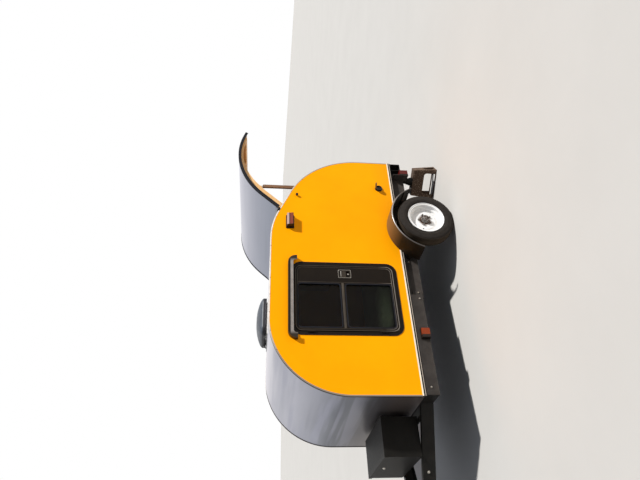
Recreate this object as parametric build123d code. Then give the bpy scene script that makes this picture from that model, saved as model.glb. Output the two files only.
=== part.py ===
from build123d import *
import os
from math import asin, cos, degrees, radians, sin, sqrt, tan

# Teardrop trailer. +X points forwards along the drawbar, +Y to the trailer's left, +Z up.
# The origin is on the ground, midway between the coupler's nose and the raised hatch's rear edge.
# Places along the body are given as a distance aft of the front wall, and heights above the
# floor deck's top, and aft() and up() turn them into X and Z.

# Body shell
body_length = 2438.0
body_width = 1340.0
wall_height = 1164.0
wall_thickness = 19.0
floor_height = 490.0
floor_thickness = 36.0
front_wall_x = 854.5
front_radius = 645.0
shoulder_from_tail = 998.0
shoulder_radius = 768.0
slope_angle = 24.5
tail_radius = 748.0
skin_thickness = 2.0
skin_lap = 18.0
roof_board = 18.0
hinge_line_drop = 30.0

# Edge and sill trims
trim_thickness = 2.0
trim_width = 20.0
trim_joint = 0.5
sill_trim_height = 18.0
sill_trim_proud = 4.0
floor_strip_height = 8.0
floor_strip_drop = 20.0

# Inside panels
panel = 18.0
upper_galley_length = 738.0
lower_galley_length = 508.0
counter_height = 500.0
counter_tail_gap = 148.0
cabinet_tail_gap = 98.0
divider_side = 220.0
shelf_height = 758.0
shelf_depth = 240.0
rear_panel_height = 275.0
spar_width = 40.0
spar_depth = 52.0

# Hatch, made closed and then turned up about its hinge
hatch_open = 71.0
hatch_gap = 5.0
hatch_board = 6.0
hatch_start = 10.0
hatch_bottom = 260.0
hatch_side_gap = 5.0
hatch_edge_thickness = 3.0
hatch_edge_drop = 12.0
hatch_edge_cover = 15.0
rib_thickness = 18.0
rib_depth = 75.0
rib_start = 15.0
rib_bottom = 300.0
rib_wall_gap = 7.0
inner_rib_spacing = 315.0
hatch_spar_width = 45.0
hatch_spar_depth = 40.0
middle_spar_angle = 55.0
hinge_rod_radius = 4.0
hinge_fit = 0.05
hinge_barrel_radius = 8.0
hinge_axis_height = 11.0
hinge_leaf_width = 32.0
hinge_leaf_thickness = 2.0
hinge_end_gap = 2.0
hinge_slot_low = -72.0
hinge_slot_high = 72.0
hinge_stem = 2.6

# Wooden props that hold the hatch up
prop_angle = 31.0
prop_depth = 98.0
prop_length = 352.0
prop_width = 32.0
prop_thickness = 17.0
prop_offset = 1.0
prop_block_gap = 8.0
prop_block_width = 30.0
prop_ear = 3.0
prop_pin_radius = 4.0
catch_plate = 2.0
catch_gap = 0.3

# Doors
door_front = 490.0
door_width = 695.0
door_sill = 65.0
door_height = 920.0
door_radius = 90.0
door_flange = 30.0
door_flange_proud = 3.0
jamb_inset = 12.0
jamb_thickness = 10.0
jamb_depth = 25.0
leaf_gap = 5.0
leaf_thickness = 26.0
leaf_proud = 6.0
window_front_border = 65.0
window_rear_border = 216.0
window_sill_border = 61.0
window_top_border = 56.0
window_radius = 28.0
sash_above_sill = 461.0
sash_bar = 41.0
glass_thickness = 4.0
glass_inset = 12.0
glazing_gap = 0.2
latch_from_edge = 120.0
latch_above_sill = 460.0
latch_width = 84.0
latch_tall = 114.0
latch_proud = 4.0
latch_depth = 12.0
latch_border = 12.0
door_hinge_inset = 27.0
door_hinge_proud = 10.0
door_hinge_from_end = 165.0
knuckle_length = 33.0
knuckle_gap = 0.5
hinge_arm_reach = 28.0
hinge_plate = 2.0

# Drip caps over the doors
cap_beyond_door = 41.0
cap_length = 782.0
cap_above_door = 25.0
cap_end_below_door = 52.0
cap_depth = 40.0
cap_lip = 44.0
cap_sheet = 3.0
cap_radius = 68.0

# Wall fittings
lamp_from_tail = 811.0
lamp_edge_gap = 90.5
lamp_width = 147.0
lamp_tall = 74.0
lamp_base = 8.0
lamp_depth = 52.0
lamp_border = 8.0
lamp_lens_slope = 0.8
knob_from_tail = 483.0
knob_height = 925.0
knob_radius = 12.0
knob_proud = 24.0
inlet_from_tail = 354.0
inlet_height = 117.0
inlet_radius = 37.0
inlet_flange = 5.0
inlet_barrel = 16.0
inlet_barrel_radius = 30.0
inlet_barrel_wall = 4.0
inlet_pin_radius = 3.0
inlet_pin_circle = 9.5
cover_hinge_width = 16.0
cover_hinge_size = 8.0
cover_lift = 1.5

# Roof vent
vent_aft = 930.0
vent_size = 380.0
vent_flange = 6.0
vent_opening = 290.0
vent_curb = 10.0
vent_curb_height = 30.0
vent_lid_size = 356.0
vent_lid_lift = 12.0
vent_lid_height = 85.0
vent_lid_wall = 3.0
vent_lid_taper = 28.0
vent_lid_radius = 60.0
vent_knuckle = 5.0
vent_hinge_gap = 1.5

# Chassis
rail_wall = 4.0
rail_flange = 40.0
front_rail_start = 8.0
front_rail_end = 873.0
front_rail_height = 100.0
rear_rail_inset = 50.0
rear_rail_height = 127.0
joint_plate = 6.0
joint_length = 66.0
joint_height = 80.0
joint_drop = 34.0
cross_depth = 60.0
cross_before_axle = 352.0
cross_behind_axle = 313.0
cross_joint_gap = 10.0
end_beam = 86.0
end_beam_inset = 5.0
tongue_half_angle = 25.0
tongue_end = 905.0
tongue_end_side = 38.0

# Wheels, axle and springs
axle_from_tail = 851.0
tyre_radius = 256.5
tyre_width = 122.0
tyre_body_gap = 76.5
rim_radius = 152.4
rim_flange = 166.0
rim_width = 108.0
rim_wall = 4.0
rim_well = 134.0
rim_lip = 6.0
well_inner_end = 30.0
well_outer_end = 22.0
well_slope = 10.0
disc_sunk = 6.0
disc_sunk_radius = 118.0
disc_crown = 4.0
disc_crown_radius = 98.0
disc_middle = 6.0
disc_middle_radius = 70.0
disc_hole_inset = 2.0
bead_inset = 8.0
bead_above_rim = 3.0
bead_fit = 0.3
tread_edge_drop = 9.0
tread_edge_inset = 14.0
hub_radius = 34.0
hub_reach_in = 66.0
hub_flange = 62.0
hub_flange_back = 10.0
hub_front = 10.0
hub_cap_radius = 24.0
hub_cap_start = 30.0
hub_cap_reach = 36.0
hub_cap_bevel = 8.0
hub_cap_inside = 20.0
spindle_radius = 12.0
spindle_past_middle = 15.0
axle_radius = 22.0
axle_end_gap = 7.0
spring_pad_length = 64.0
spring_pad_rise = 2.0
spring_length = 520.0
spring_sag = 17.0
spring_width = 45.0
spring_leaf = 7.0
spring_eye = 12.0
spring_bolt_fit = 0.2
second_leaf_share = 0.34
hanger_plate = 5.0
hanger_length = 56.0
hanger_arm = 40.0
hanger_below_eye = 16.0
hanger_bolt_past = 8.0

# Fenders
fender_radius = 364.0
fender_drop = 41.5
fender_sheet = 2.0
fender_width = 241.0
fender_lip = 17.0
fender_front_angle = 70.0
fender_rear_angle = 60.0
fender_gap = 1.0
stay_thickness = 6.0
stay_half_angle = 3.0
front_stay_inset = 8.0
rear_stay_inset = 4.0

# Tongue box
box_front = 350.0
box_rear = 45.0
box_width = 680.0
box_height = 295.0
box_wall = 4.0
lid_height = 28.0
lid_gap = 0.5
strap_thickness = 6.0
strap_width = 40.0
lid_hinge_share = 0.65
lid_hinge_gap = 1.0

# Coupler and jack
ball_reach = 1050.0
ball_radius = 24.0
ball_height = 418.0
coupler_width = 76.0
coupler_wall = 6.0
coupler_low = 396.0
coupler_plate_lap = 75.0
latch_lever_length = 75.0
latch_lever_width = 18.0
latch_lever_height = 22.0
latch_handle_length = 90.0
latch_handle_width = 28.0
latch_handle_thickness = 6.0
latch_handle_lap = 30.0
latch_handle_angle = 25.0
jack_reach = 790.0
jack_outer = 25.0
jack_bore = 21.0
jack_fit = 0.05
jack_low = 255.0
jack_top = 770.0
jack_cap = 10.0
jack_end_gap = 15.0
jack_foot_radius = 65.0
jack_foot = 6.0
jack_plate = 8.0
jack_plate_back = 60.0
jack_plate_front = 35.0
jack_travel = 200.0
crank_drop = 35.0
crank_shaft_radius = 7.0
crank_shaft_reach = 45.0
crank_arm_length = 152.0
crank_arm_width = 16.0
crank_arm_thickness = 6.0
crank_grip_radius = 10.0
crank_grip_length = 91.0
crank_arm_end = 8.0

# Lights on the chassis
marker_aft = 510.0
marker_width = 90.0
marker_height = 76.0
marker_drop = 26.0
marker_base = 12.0
marker_lens = 22.0
marker_border = 5.0
tail_lamp_from_tail = 181.0
tail_depth = 65.0
tail_width = 85.0
tail_height = 86.0
tail_drop = 76.0
tail_base = 12.0
tail_plate = 5.0
tail_plate_drop = 10.0
tail_plate_bottom_gap = 4.0
tail_lens_border = 2.0
tail_lamp_gap = 1.0

# Axle stands under the rear corners
stand_from_tail = 158.0
stand_side = 242.0
stand_height = 250.0
stand_top_side = 62.0
stand_sheet = 3.0
stand_turn = 8.0
stand_arch = 62.0
stand_bar = 5.0
stand_top_round = 14.0
post_overlap = 75.0
post_radius = 20.0
saddle_thickness = 8.0
saddle_length = 70.0
saddle_side_gap = 1.0

# Bedding
mattress_thickness = 118.0
mattress_gap = 8.0
quilt_length = 520.0
quilt_width = 560.0
quilt_height = 95.0
quilt_aft = 545.0
quilt_wall_gap = 20.0
quilt_corner = 60.0
quilt_edge = 30.0
mattress_corner = 40.0
bedding_gap = 0.3

shoulder_start = body_length - shoulder_from_tail
upper_bulkhead_aft = body_length - upper_galley_length
lower_bulkhead_aft = body_length - lower_galley_length
counter_rear = body_length - counter_tail_gap
cabinet_rear = body_length - cabinet_tail_gap
axle_aft = body_length - axle_from_tail
half_width = body_width / 2
tyre_side = half_width + tyre_body_gap + tyre_width / 2
inner_half = half_width - wall_thickness
deck_bottom = floor_height - floor_thickness
far = 5000.0


def aft(distance):
    """X of a place this far behind the front wall's outer face."""
    return front_wall_x - distance


def up(height):
    """Z of a place this far above the floor deck's top."""
    return floor_height + height


def on_circle(centre, radius, angle):
    """Point on a circle in the XZ plane, the angle counted from straight up towards the rear."""
    return (centre[0] - radius * sin(radians(angle)), centre[1] + radius * cos(radians(angle)))


front_centre = (aft(front_radius), up(wall_height - front_radius))
shoulder_centre = (aft(shoulder_start), up(wall_height - shoulder_radius))
shoulder_end = on_circle(shoulder_centre, shoulder_radius, slope_angle)
tail_centre_x = aft(body_length - tail_radius)
tail_start_x = tail_centre_x - tail_radius * sin(radians(slope_angle))
slope_length = (shoulder_end[0] - tail_start_x) / cos(radians(slope_angle))
tail_centre_z = (shoulder_end[1] - slope_length * sin(radians(slope_angle))
                 - tail_radius * cos(radians(slope_angle)))
tail_centre = (tail_centre_x, tail_centre_z)
break_point = (shoulder_end[0] - hinge_line_drop * cos(radians(slope_angle)),
               shoulder_end[1] - hinge_line_drop * sin(radians(slope_angle)))
hinge_axis = (break_point[0] - hinge_axis_height * sin(radians(slope_angle)),
              break_point[1] + hinge_axis_height * cos(radians(slope_angle)))


def slab(face, y_low, y_high):
    """Solid of an XZ outline between two Y planes."""
    return Pos(0, y_low, 0) * extrude(Plane.XZ * face, amount=y_high - y_low, dir=(0, 1, 0))


def block(x_low, x_high, y_low, y_high, z_low, z_high):
    """Box between two corners."""
    size = (x_high - x_low, y_high - y_low, z_high - z_low)
    return Pos(x_low, y_low, z_low) * Box(*size, align=(Align.MIN, Align.MIN, Align.MIN))


def mirrored(solid):
    """The same piece on the trailer's right side."""
    return mirror(solid, about=Plane.XZ)


def both_sides(solid):
    """A piece on the left and its twin on the right, as one node."""
    return Compound(children=list(solid.solids()) + list(mirrored(solid).solids()))


def cylinder_y(radius, x, z, y_low, y_high):
    """Round bar along Y."""
    bar = Cylinder(radius, y_high - y_low, align=(Align.CENTER, Align.CENTER, Align.MIN))
    return Pos(x, y_low, z) * Rot(-90, 0, 0) * bar


def body_outline(offset=0.0, bottom=0.0):
    """Side profile of the body, moved outwards by offset, closed at a height above the floor."""
    front = (aft(0) + offset, up(bottom))
    front_top = on_circle(front_centre, front_radius + offset, -90)
    front_mid = on_circle(front_centre, front_radius + offset, -45)
    roof_start = on_circle(front_centre, front_radius + offset, 0)
    roof_end = on_circle(shoulder_centre, shoulder_radius + offset, 0)
    shoulder_mid = on_circle(shoulder_centre, shoulder_radius + offset, slope_angle / 2)
    slope_start = on_circle(shoulder_centre, shoulder_radius + offset, slope_angle)
    slope_end = on_circle(tail_centre, tail_radius + offset, slope_angle)
    tail_mid = on_circle(tail_centre, tail_radius + offset, (slope_angle + 90) / 2)
    tail_end = on_circle(tail_centre, tail_radius + offset, 90)
    rear = (tail_end[0], up(bottom))
    edges = [
        Line(front, front_top),
        ThreePointArc(front_top, front_mid, roof_start),
        Line(roof_start, roof_end),
        ThreePointArc(roof_end, shoulder_mid, slope_start),
        Line(slope_start, slope_end),
        ThreePointArc(slope_end, tail_mid, tail_end),
        Line(tail_end, rear),
        Line(rear, front),
    ]
    return make_face(edges)


def band(inner, outer, y_low, y_high, bottom=0.0):
    """Layer that follows the body's profile between two offsets."""
    outside = slab(body_outline(outer, bottom), y_low, y_high)
    inside = slab(body_outline(inner, bottom - 1), y_low - 1, y_high + 1)
    return outside - inside


def beside_break(distance, side):
    """Half space ahead of (+1) or behind (-1) a plane square to the slope, past the hinge line."""
    align = Align.MIN if side > 0 else Align.MAX
    start = (break_point[0] - distance * cos(radians(slope_angle)),
             break_point[1] - distance * sin(radians(slope_angle)))
    half = Box(far, far, far, align=(align, Align.CENTER, Align.CENTER))
    return Pos(start[0], 0, start[1]) * Rot(0, -slope_angle, 0) * half


def above(height):
    """Half space above a height over the floor."""
    return block(-far, far, -far, far, up(height), up(height) + far)


def opened(solid):
    """A hatch piece made closed, turned up to where the props hold it."""
    return solid.rotate(Axis((hinge_axis[0], 0, hinge_axis[1]), (0, 1, 0)), hatch_open)


def rounded(x_low, x_high, z_low, z_high, radius):
    """Rounded rectangle in the XZ plane."""
    centre = ((x_low + x_high) / 2, (z_low + z_high) / 2)
    return Pos(*centre) * RectangleRounded(x_high - x_low, z_high - z_low, radius)


def hinge(pin_radius, knuckle_radius, knuckle, gap):
    """Pin hinge along Z about the origin: the fixed knuckles with their pin, and the moving one."""
    middle = Cylinder(knuckle_radius, knuckle) - Cylinder(pin_radius + hinge_fit, knuckle * 2)
    fixed = Cylinder(pin_radius, knuckle * 2 + 2 * gap)
    for side in (-1, 1):
        fixed += Pos(0, 0, side * (knuckle * 0.75 + gap)) * Cylinder(knuckle_radius, knuckle / 2)
    return fixed, middle


parts = {}

# Side walls with their door openings
jamb_outline = rounded(aft(door_front + door_width - jamb_inset), aft(door_front + jamb_inset),
                       up(door_sill + jamb_inset), up(door_sill + door_height - jamb_inset),
                       door_radius - jamb_inset)
wall_left = slab(body_outline(), inner_half, half_width)
wall_left -= slab(jamb_outline, inner_half - 1, half_width + 1)
parts["side_walls"] = both_sides(wall_left)

# Floor deck
parts["floor_deck"] = block(aft(body_length), aft(0), -half_width, half_width,
                            deck_bottom, floor_height)

# Front wall and roof, as the board between the walls and the metal skin over them
vent_hole = block(aft(vent_aft + vent_opening / 2), aft(vent_aft - vent_opening / 2),
                  -vent_opening / 2, vent_opening / 2, up(wall_height - 100), up(wall_height + 100))
ahead = beside_break(0, 1)
roof_panel = band(-roof_board, 0, -inner_half, inner_half) & ahead
parts["roof_board"] = roof_panel - vent_hole
roof_skin = band(0, skin_thickness, -half_width, half_width, -skin_lap) & ahead
parts["roof_skin"] = roof_skin - vent_hole

# Metal edge trims: over the skin's edge ahead of the hinge, on the bare wall edge behind it
skin_trim_top = skin_thickness + trim_thickness
front_trim = band(-trim_width, skin_trim_top, half_width, half_width + trim_thickness)
front_trim += band(skin_thickness, skin_trim_top, half_width - trim_width,
                   half_width + trim_thickness)
rear_trim = band(-trim_width, trim_thickness, half_width, half_width + trim_thickness)
rear_trim += band(0, trim_thickness, inner_half, half_width + trim_thickness)
rear_trim &= beside_break(trim_joint, -1)
parts["edge_trims"] = both_sides(Compound(children=[front_trim & ahead, rear_trim]))

# Sill trims along the foot of the walls, and the strips on the deck's edge below them
sill_trim = block(aft(body_length), aft(0), half_width, half_width + sill_trim_proud,
                  up(0) - sill_trim_height, up(0))
floor_strip = block(aft(body_length), aft(0), half_width, half_width + trim_thickness,
                    up(0) - floor_strip_drop - floor_strip_height, up(0) - floor_strip_drop)
parts["sill_trims"] = both_sides(Compound(children=[sill_trim, floor_strip]))

# Inside panels: bulkheads, galley counter, shelf and dividers, rear panel and hinge spar
inside = slab(body_outline(-roof_board), -inner_half, inner_half)
upper_bulkhead = block(aft(upper_bulkhead_aft + panel), aft(upper_bulkhead_aft),
                       -inner_half, inner_half, up(counter_height), up(wall_height)) & inside
lower_bulkhead = block(aft(lower_bulkhead_aft + panel), aft(lower_bulkhead_aft),
                       -inner_half, inner_half, up(0), up(counter_height - panel))
galley = block(aft(counter_rear), aft(upper_bulkhead_aft),
               -inner_half, inner_half, up(counter_height - panel), up(counter_height))
for y in (-divider_side, divider_side):
    galley += block(aft(cabinet_rear), aft(lower_bulkhead_aft + panel),
                    y - panel / 2, y + panel / 2, up(0), up(counter_height - panel))
    galley += block(aft(upper_bulkhead_aft + panel + shelf_depth),
                    aft(upper_bulkhead_aft + panel), y - panel / 2, y + panel / 2,
                    up(counter_height), up(shelf_height - panel))
galley += block(aft(upper_bulkhead_aft + panel + shelf_depth), aft(upper_bulkhead_aft + panel),
                -inner_half, inner_half, up(shelf_height - panel), up(shelf_height))
parts["galley_cabinet"] = galley
parts["rear_panel"] = block(aft(body_length), aft(body_length - panel), -inner_half, inner_half,
                            up(0), up(rear_panel_height))
spar = band(-roof_board - spar_depth, -roof_board, -inner_half, inner_half)
spar = spar & ahead & beside_break(-spar_width, -1)
parts["bulkheads"] = Compound(children=[upper_bulkhead.solid(), lower_bulkhead.solid(),
                                        spar.solid()])

# Hatch panel and its black edging, which hangs over the wall edges
hatch_low = trim_thickness + hatch_gap
hatch_top = hatch_low + hatch_board
hatch_skin_top = hatch_top + skin_thickness
hatch_edge_top = hatch_skin_top + hatch_edge_thickness
hatch_half = half_width + trim_thickness + hatch_side_gap
hatch_region = beside_break(hatch_start, -1) & above(hatch_bottom)
parts["hatch_board"] = opened(band(hatch_low, hatch_top, -hatch_half, hatch_half) & hatch_region)
parts["hatch_skin"] = opened(band(hatch_top, hatch_skin_top, -hatch_half, hatch_half)
                             & hatch_region)
edge_bottom = hatch_low - hatch_edge_drop - hatch_gap
edge_outer = hatch_half + hatch_edge_thickness
edging = band(edge_bottom, hatch_edge_top, hatch_half, edge_outer)
edging += band(hatch_skin_top, hatch_edge_top, hatch_half - hatch_edge_cover, edge_outer)
edging = (edging & hatch_region) + mirrored(edging & hatch_region)
tip_strip = band(hatch_low, hatch_edge_top, -edge_outer, edge_outer,
                 hatch_bottom - hatch_edge_thickness)
tip_strip &= block(-far, aft(body_length / 2), -far, far,
                   up(hatch_bottom - hatch_edge_thickness), up(hatch_bottom))
parts["hatch_edging"] = opened(edging + tip_strip)

# Hatch ribs and cross spars of pale wood
rib_outer = inner_half - rib_wall_gap
rib_inner = rib_outer - rib_thickness
rib_low = hatch_low - rib_depth
rib_region = beside_break(rib_start, -1) & above(rib_bottom)
side_rib = band(rib_low, hatch_low, rib_inner, rib_outer) & rib_region
pivot_closed = on_circle(tail_centre, tail_radius - prop_depth, prop_angle)
arm = (pivot_closed[0] - hinge_axis[0], pivot_closed[1] - hinge_axis[1])
turn = radians(hatch_open)
pivot = (hinge_axis[0] + arm[0] * cos(turn) + arm[1] * sin(turn),
         hinge_axis[1] - arm[0] * sin(turn) + arm[1] * cos(turn))
block_low = pivot[1] + prop_width / 2 + prop_block_gap
rib_block = block(pivot[0], pivot[0] + prop_block_width, rib_inner, rib_outer,
                  block_low, block_low + rib_depth)
rib_block = rib_block.rotate(Axis((hinge_axis[0], 0, hinge_axis[1]), (0, 1, 0)), -hatch_open)
rib_block &= slab(body_outline(hatch_low), rib_inner, rib_outer)
side_rib += rib_block
spar_low = hatch_low - hatch_spar_depth
spar_layer = band(spar_low, hatch_low, -rib_inner, rib_inner)
top_spar = spar_layer & rib_region & beside_break(rib_start + hatch_spar_width, 1)
bottom_spar = (spar_layer & rib_region) - above(rib_bottom + hatch_spar_width)
slice_box = Box(hatch_spar_width, far, far, align=(Align.CENTER, Align.CENTER, Align.MIN))
tail_slice = Pos(tail_centre[0], 0, tail_centre[1]) * Rot(0, -middle_spar_angle, 0) * slice_box
middle_spar = spar_layer & rib_region & tail_slice
inner_rib = band(rib_low, hatch_low, -rib_thickness / 2, rib_thickness / 2) & rib_region
ribs = [side_rib, mirrored(side_rib)]
for y in (-inner_rib_spacing, 0, inner_rib_spacing):
    ribs.append(Pos(0, y, 0) * inner_rib)
spars = top_spar + middle_spar + bottom_spar
for rib in ribs:
    spars -= rib
parts["hatch_frame"] = Compound(children=[opened(rib).solid() for rib in ribs])
parts["hatch_spars"] = Compound(children=[opened(piece) for piece in spars.solids()])

# Hatch hinge: a rod on the roof's strip, held by a slotted barrel on the hatch's strip
hinge_frame = Pos(hinge_axis[0], 0, hinge_axis[1]) * Rot(0, -slope_angle, 0)
hinge_half = half_width - trim_width - hinge_end_gap
strip_low = skin_thickness - hinge_axis_height
strip_high = strip_low + hinge_leaf_thickness
strip_start = hinge_barrel_radius + 2
stem_outline = Polyline((0, -hinge_stem / 2), (strip_start, strip_low),
                        (strip_start + 4, strip_low), (strip_start + 4, strip_high),
                        (strip_start + 1, strip_high), (hinge_stem, hinge_stem / 2),
                        (0, -hinge_stem / 2))
rod = cylinder_y(hinge_rod_radius, 0, 0, -hinge_half, hinge_half)
rod += slab(make_face(stem_outline), -hinge_half, hinge_half)
rod += block(strip_start, strip_start + hinge_leaf_width, -hinge_half, hinge_half,
             strip_low, strip_high)
parts["hatch_hinge_rod"] = hinge_frame * rod
slot_reach = 3 * hinge_barrel_radius
slot_corners = [(slot_reach * cos(radians(a)), slot_reach * sin(radians(a)))
                for a in (hinge_slot_low, 0, hinge_slot_high)]
slot = make_face(Polyline((0, 0), *slot_corners, (0, 0)))
barrel_outline = (Circle(hinge_barrel_radius) - Circle(hinge_rod_radius + hinge_fit)) - slot
strip_on_hatch = hatch_skin_top - hinge_axis_height
barrel = slab(barrel_outline, -hinge_half, hinge_half)
barrel += block(-strip_start - hinge_leaf_width, -hinge_rod_radius / 2, -hinge_half, hinge_half,
                strip_on_hatch, strip_on_hatch + hinge_leaf_thickness)
parts["hatch_hinge_barrel"] = opened(hinge_frame * barrel)

# Props: a wooden bar under each side rib, its steel ear and pin, and the catch on the wall
prop_outer = rib_outer + prop_offset
prop_inner = prop_outer - prop_thickness
prop = block(pivot[0] - prop_width / 2, pivot[0] + prop_width / 2, prop_inner, prop_outer,
             pivot[1] - prop_length, pivot[1])
prop += cylinder_y(prop_width / 2, pivot[0], pivot[1], prop_inner, prop_outer)
prop -= cylinder_y(prop_pin_radius + hinge_fit, pivot[0], pivot[1], prop_inner - 1, prop_outer + 1)
parts["prop_left"] = prop
parts["prop_right"] = mirrored(prop)
ear_half = prop_width / 2 - 4
ear = block(pivot[0] - ear_half, pivot[0] + ear_half, rib_inner - prop_ear, rib_inner,
            pivot[1], block_low + prop_width)
ear += cylinder_y(ear_half, pivot[0], pivot[1], rib_inner - prop_ear, rib_inner)
ear += cylinder_y(prop_pin_radius, pivot[0], pivot[1], rib_inner - prop_ear, rib_outer)
parts["prop_ears"] = both_sides(ear)
catch_z = pivot[1] - prop_length + prop_width / 2
catch = block(pivot[0] - prop_width / 2, pivot[0] + prop_width / 2, inner_half - catch_plate,
              inner_half, catch_z - prop_width / 2, catch_z + prop_width / 2)
catch += cylinder_y(prop_pin_radius, pivot[0], catch_z, prop_outer + catch_gap, inner_half)
parts["prop_catches"] = both_sides(catch)

# Door frames: a flange on the wall and a jamb through it
flange_outline = rounded(aft(door_front + door_width), aft(door_front), up(door_sill),
                         up(door_sill + door_height), door_radius)
flange_inside = rounded(aft(door_front + door_width - door_flange), aft(door_front + door_flange),
                        up(door_sill + door_flange), up(door_sill + door_height - door_flange),
                        door_radius - door_flange)
jamb_inside_inset = jamb_inset + jamb_thickness
jamb_inside = rounded(aft(door_front + door_width - jamb_inside_inset),
                      aft(door_front + jamb_inside_inset), up(door_sill + jamb_inside_inset),
                      up(door_sill + door_height - jamb_inside_inset),
                      door_radius - jamb_inside_inset)
door_frame = slab(flange_outline, half_width, half_width + door_flange_proud)
door_frame -= slab(flange_inside, half_width - 1, half_width + far)
jamb = slab(jamb_outline, half_width - jamb_depth, half_width)
jamb -= slab(jamb_inside, half_width - jamb_depth - 1, half_width + 1)
door_frame += jamb

# Door leaves: a thick frame with two panes, a latch panel behind them and two hinge arms
leaf_inset = door_flange + leaf_gap
leaf_outer = half_width + leaf_proud
leaf_inner = leaf_outer - leaf_thickness
leaf_outline = rounded(aft(door_front + door_width - leaf_inset), aft(door_front + leaf_inset),
                       up(door_sill + leaf_inset), up(door_sill + door_height - leaf_inset),
                       door_radius - leaf_inset)
leaf = slab(leaf_outline, leaf_inner, leaf_outer)
panes = []
window_front = door_front + window_front_border
window_rear = door_front + door_width - window_rear_border
window_low = door_sill + window_sill_border
window_high = door_sill + door_height - window_top_border
sash_low = door_sill + sash_above_sill
sash_high = sash_low + sash_bar
for low, high in ((window_low, sash_low), (sash_high, window_high)):
    leaf -= slab(rounded(aft(window_rear), aft(window_front), up(low), up(high), window_radius),
                 leaf_inner - 1, leaf_outer + 1)
    pane = rounded(aft(window_rear) + glazing_gap, aft(window_front) - glazing_gap,
                   up(low) + glazing_gap, up(high) - glazing_gap, window_radius - glazing_gap)
    panes.append(slab(pane, leaf_outer - glass_inset - glass_thickness,
                      leaf_outer - glass_inset))
latch_x = aft(door_front + door_width - latch_from_edge)
latch_z = up(door_sill + latch_above_sill)
pocket = block(latch_x - latch_width / 2 + latch_border, latch_x + latch_width / 2 - latch_border,
               leaf_outer - latch_depth, leaf_outer + 1,
               latch_z - latch_tall / 2 + latch_border, latch_z + latch_tall / 2 - latch_border)
leaf -= pocket
latch = slab(rounded(latch_x - latch_width / 2, latch_x + latch_width / 2,
                     latch_z - latch_tall / 2, latch_z + latch_tall / 2, latch_border),
             leaf_outer, leaf_outer + latch_proud)
latch -= Pos(0, latch_proud, 0) * pocket
paddle_half = latch_width / 2 - latch_border
latch += block(latch_x - paddle_half, latch_x + paddle_half, leaf_outer - latch_depth,
               leaf_outer + latch_proud / 2, latch_z - latch_border, latch_z + latch_tall / 3)
hinge_x = aft(door_front + door_hinge_inset)
hinge_y = half_width + door_hinge_proud
knuckle_radius = door_hinge_proud - door_flange_proud - 1
door_pin_radius = knuckle_radius / 2
fixed_knuckles, moving_knuckle = hinge(door_pin_radius, knuckle_radius, knuckle_length, knuckle_gap)
for height in (door_sill + door_hinge_from_end, door_sill + door_height - door_hinge_from_end):
    place = Pos(hinge_x, hinge_y, up(height))
    fixed = place * fixed_knuckles
    for side in (-1, 1):
        middle = up(height) + side * (knuckle_length * 0.75 + knuckle_gap)
        fixed += block(hinge_x, hinge_x + knuckle_length / 2, half_width + door_flange_proud,
                       half_width + door_flange_proud + hinge_plate,
                       middle - knuckle_length / 4, middle + knuckle_length / 4)
    door_frame += fixed
    leaf += place * moving_knuckle
    arm_bar = block(hinge_x - hinge_arm_reach, hinge_x, leaf_outer, leaf_outer + hinge_plate,
                    up(height) - knuckle_length / 2, up(height) + knuckle_length / 2)
    leaf += arm_bar - place * Cylinder(door_pin_radius + hinge_fit, knuckle_length * 2)
parts["door_frames"] = both_sides(door_frame)
for side, place in (("left", lambda s: s), ("right", mirrored)):
    parts["door_leaf_" + side] = place(leaf)
    parts["door_glass_" + side] = Compound(children=[place(pane) for pane in panes])
    parts["door_latch_" + side] = place(latch)

# Drip caps: a bent sheet with a lip, turned down at both ends
cap_front = door_front - cap_beyond_door
cap_top = door_sill + door_height + cap_above_door
cap_end = door_sill + door_height - cap_end_below_door
cap_path = FilletPolyline((aft(cap_front), 0, up(cap_end)), (aft(cap_front), 0, up(cap_top)),
                          (aft(cap_front + cap_length), 0, up(cap_top)),
                          (aft(cap_front + cap_length), 0, up(cap_end)), radius=cap_radius)
cap_section = make_face(Polyline((0, half_width), (0, half_width + cap_depth),
                                 (-cap_lip, half_width + cap_depth),
                                 (-cap_lip, half_width + cap_depth - cap_sheet),
                                 (-cap_sheet, half_width + cap_depth - cap_sheet),
                                 (-cap_sheet, half_width), (0, half_width)))
drip_cap = sweep(Pos(aft(cap_front), 0, up(cap_end)) * cap_section, path=cap_path)
parts["drip_caps"] = both_sides(drip_cap)

# Galley lamps, hatch knobs and the power inlet on the walls
lamp_aft = body_length - lamp_from_tail
lamp_corner = lamp_aft + lamp_width / 2 - shoulder_start
edge_at_lamp = wall_height - shoulder_radius + sqrt(shoulder_radius ** 2 - lamp_corner ** 2)
lamp_high = up(edge_at_lamp - lamp_edge_gap)
lamp_low = lamp_high - lamp_tall
base = block(aft(lamp_aft) - lamp_width / 2, aft(lamp_aft) + lamp_width / 2,
             half_width, half_width + lamp_base, lamp_low, lamp_high)
lens_section = make_face(Polyline((half_width + lamp_base, lamp_low + lamp_border),
                                  (half_width + lamp_base + lamp_depth, lamp_low + lamp_border),
                                  (half_width + lamp_base + lamp_depth * lamp_lens_slope,
                                   lamp_high - lamp_border),
                                  (half_width + lamp_base, lamp_high - lamp_border),
                                  (half_width + lamp_base, lamp_low + lamp_border)))
lens_width = lamp_width - 2 * lamp_border
lens = extrude(Plane.YZ * lens_section, amount=lens_width / 2, both=True)
lens = Pos(aft(lamp_aft), 0, 0) * lens
knob_aft = body_length - knob_from_tail
knob = cylinder_y(knob_radius / 2, aft(knob_aft), up(knob_height), half_width,
                  half_width + knob_proud)
knob += cylinder_y(knob_radius, aft(knob_aft), up(knob_height), half_width + knob_proud / 2,
                   half_width + knob_proud)
parts["hatch_knobs"] = both_sides(knob)
inlet_x = aft(body_length - inlet_from_tail)
inlet_z = up(inlet_height)
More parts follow.
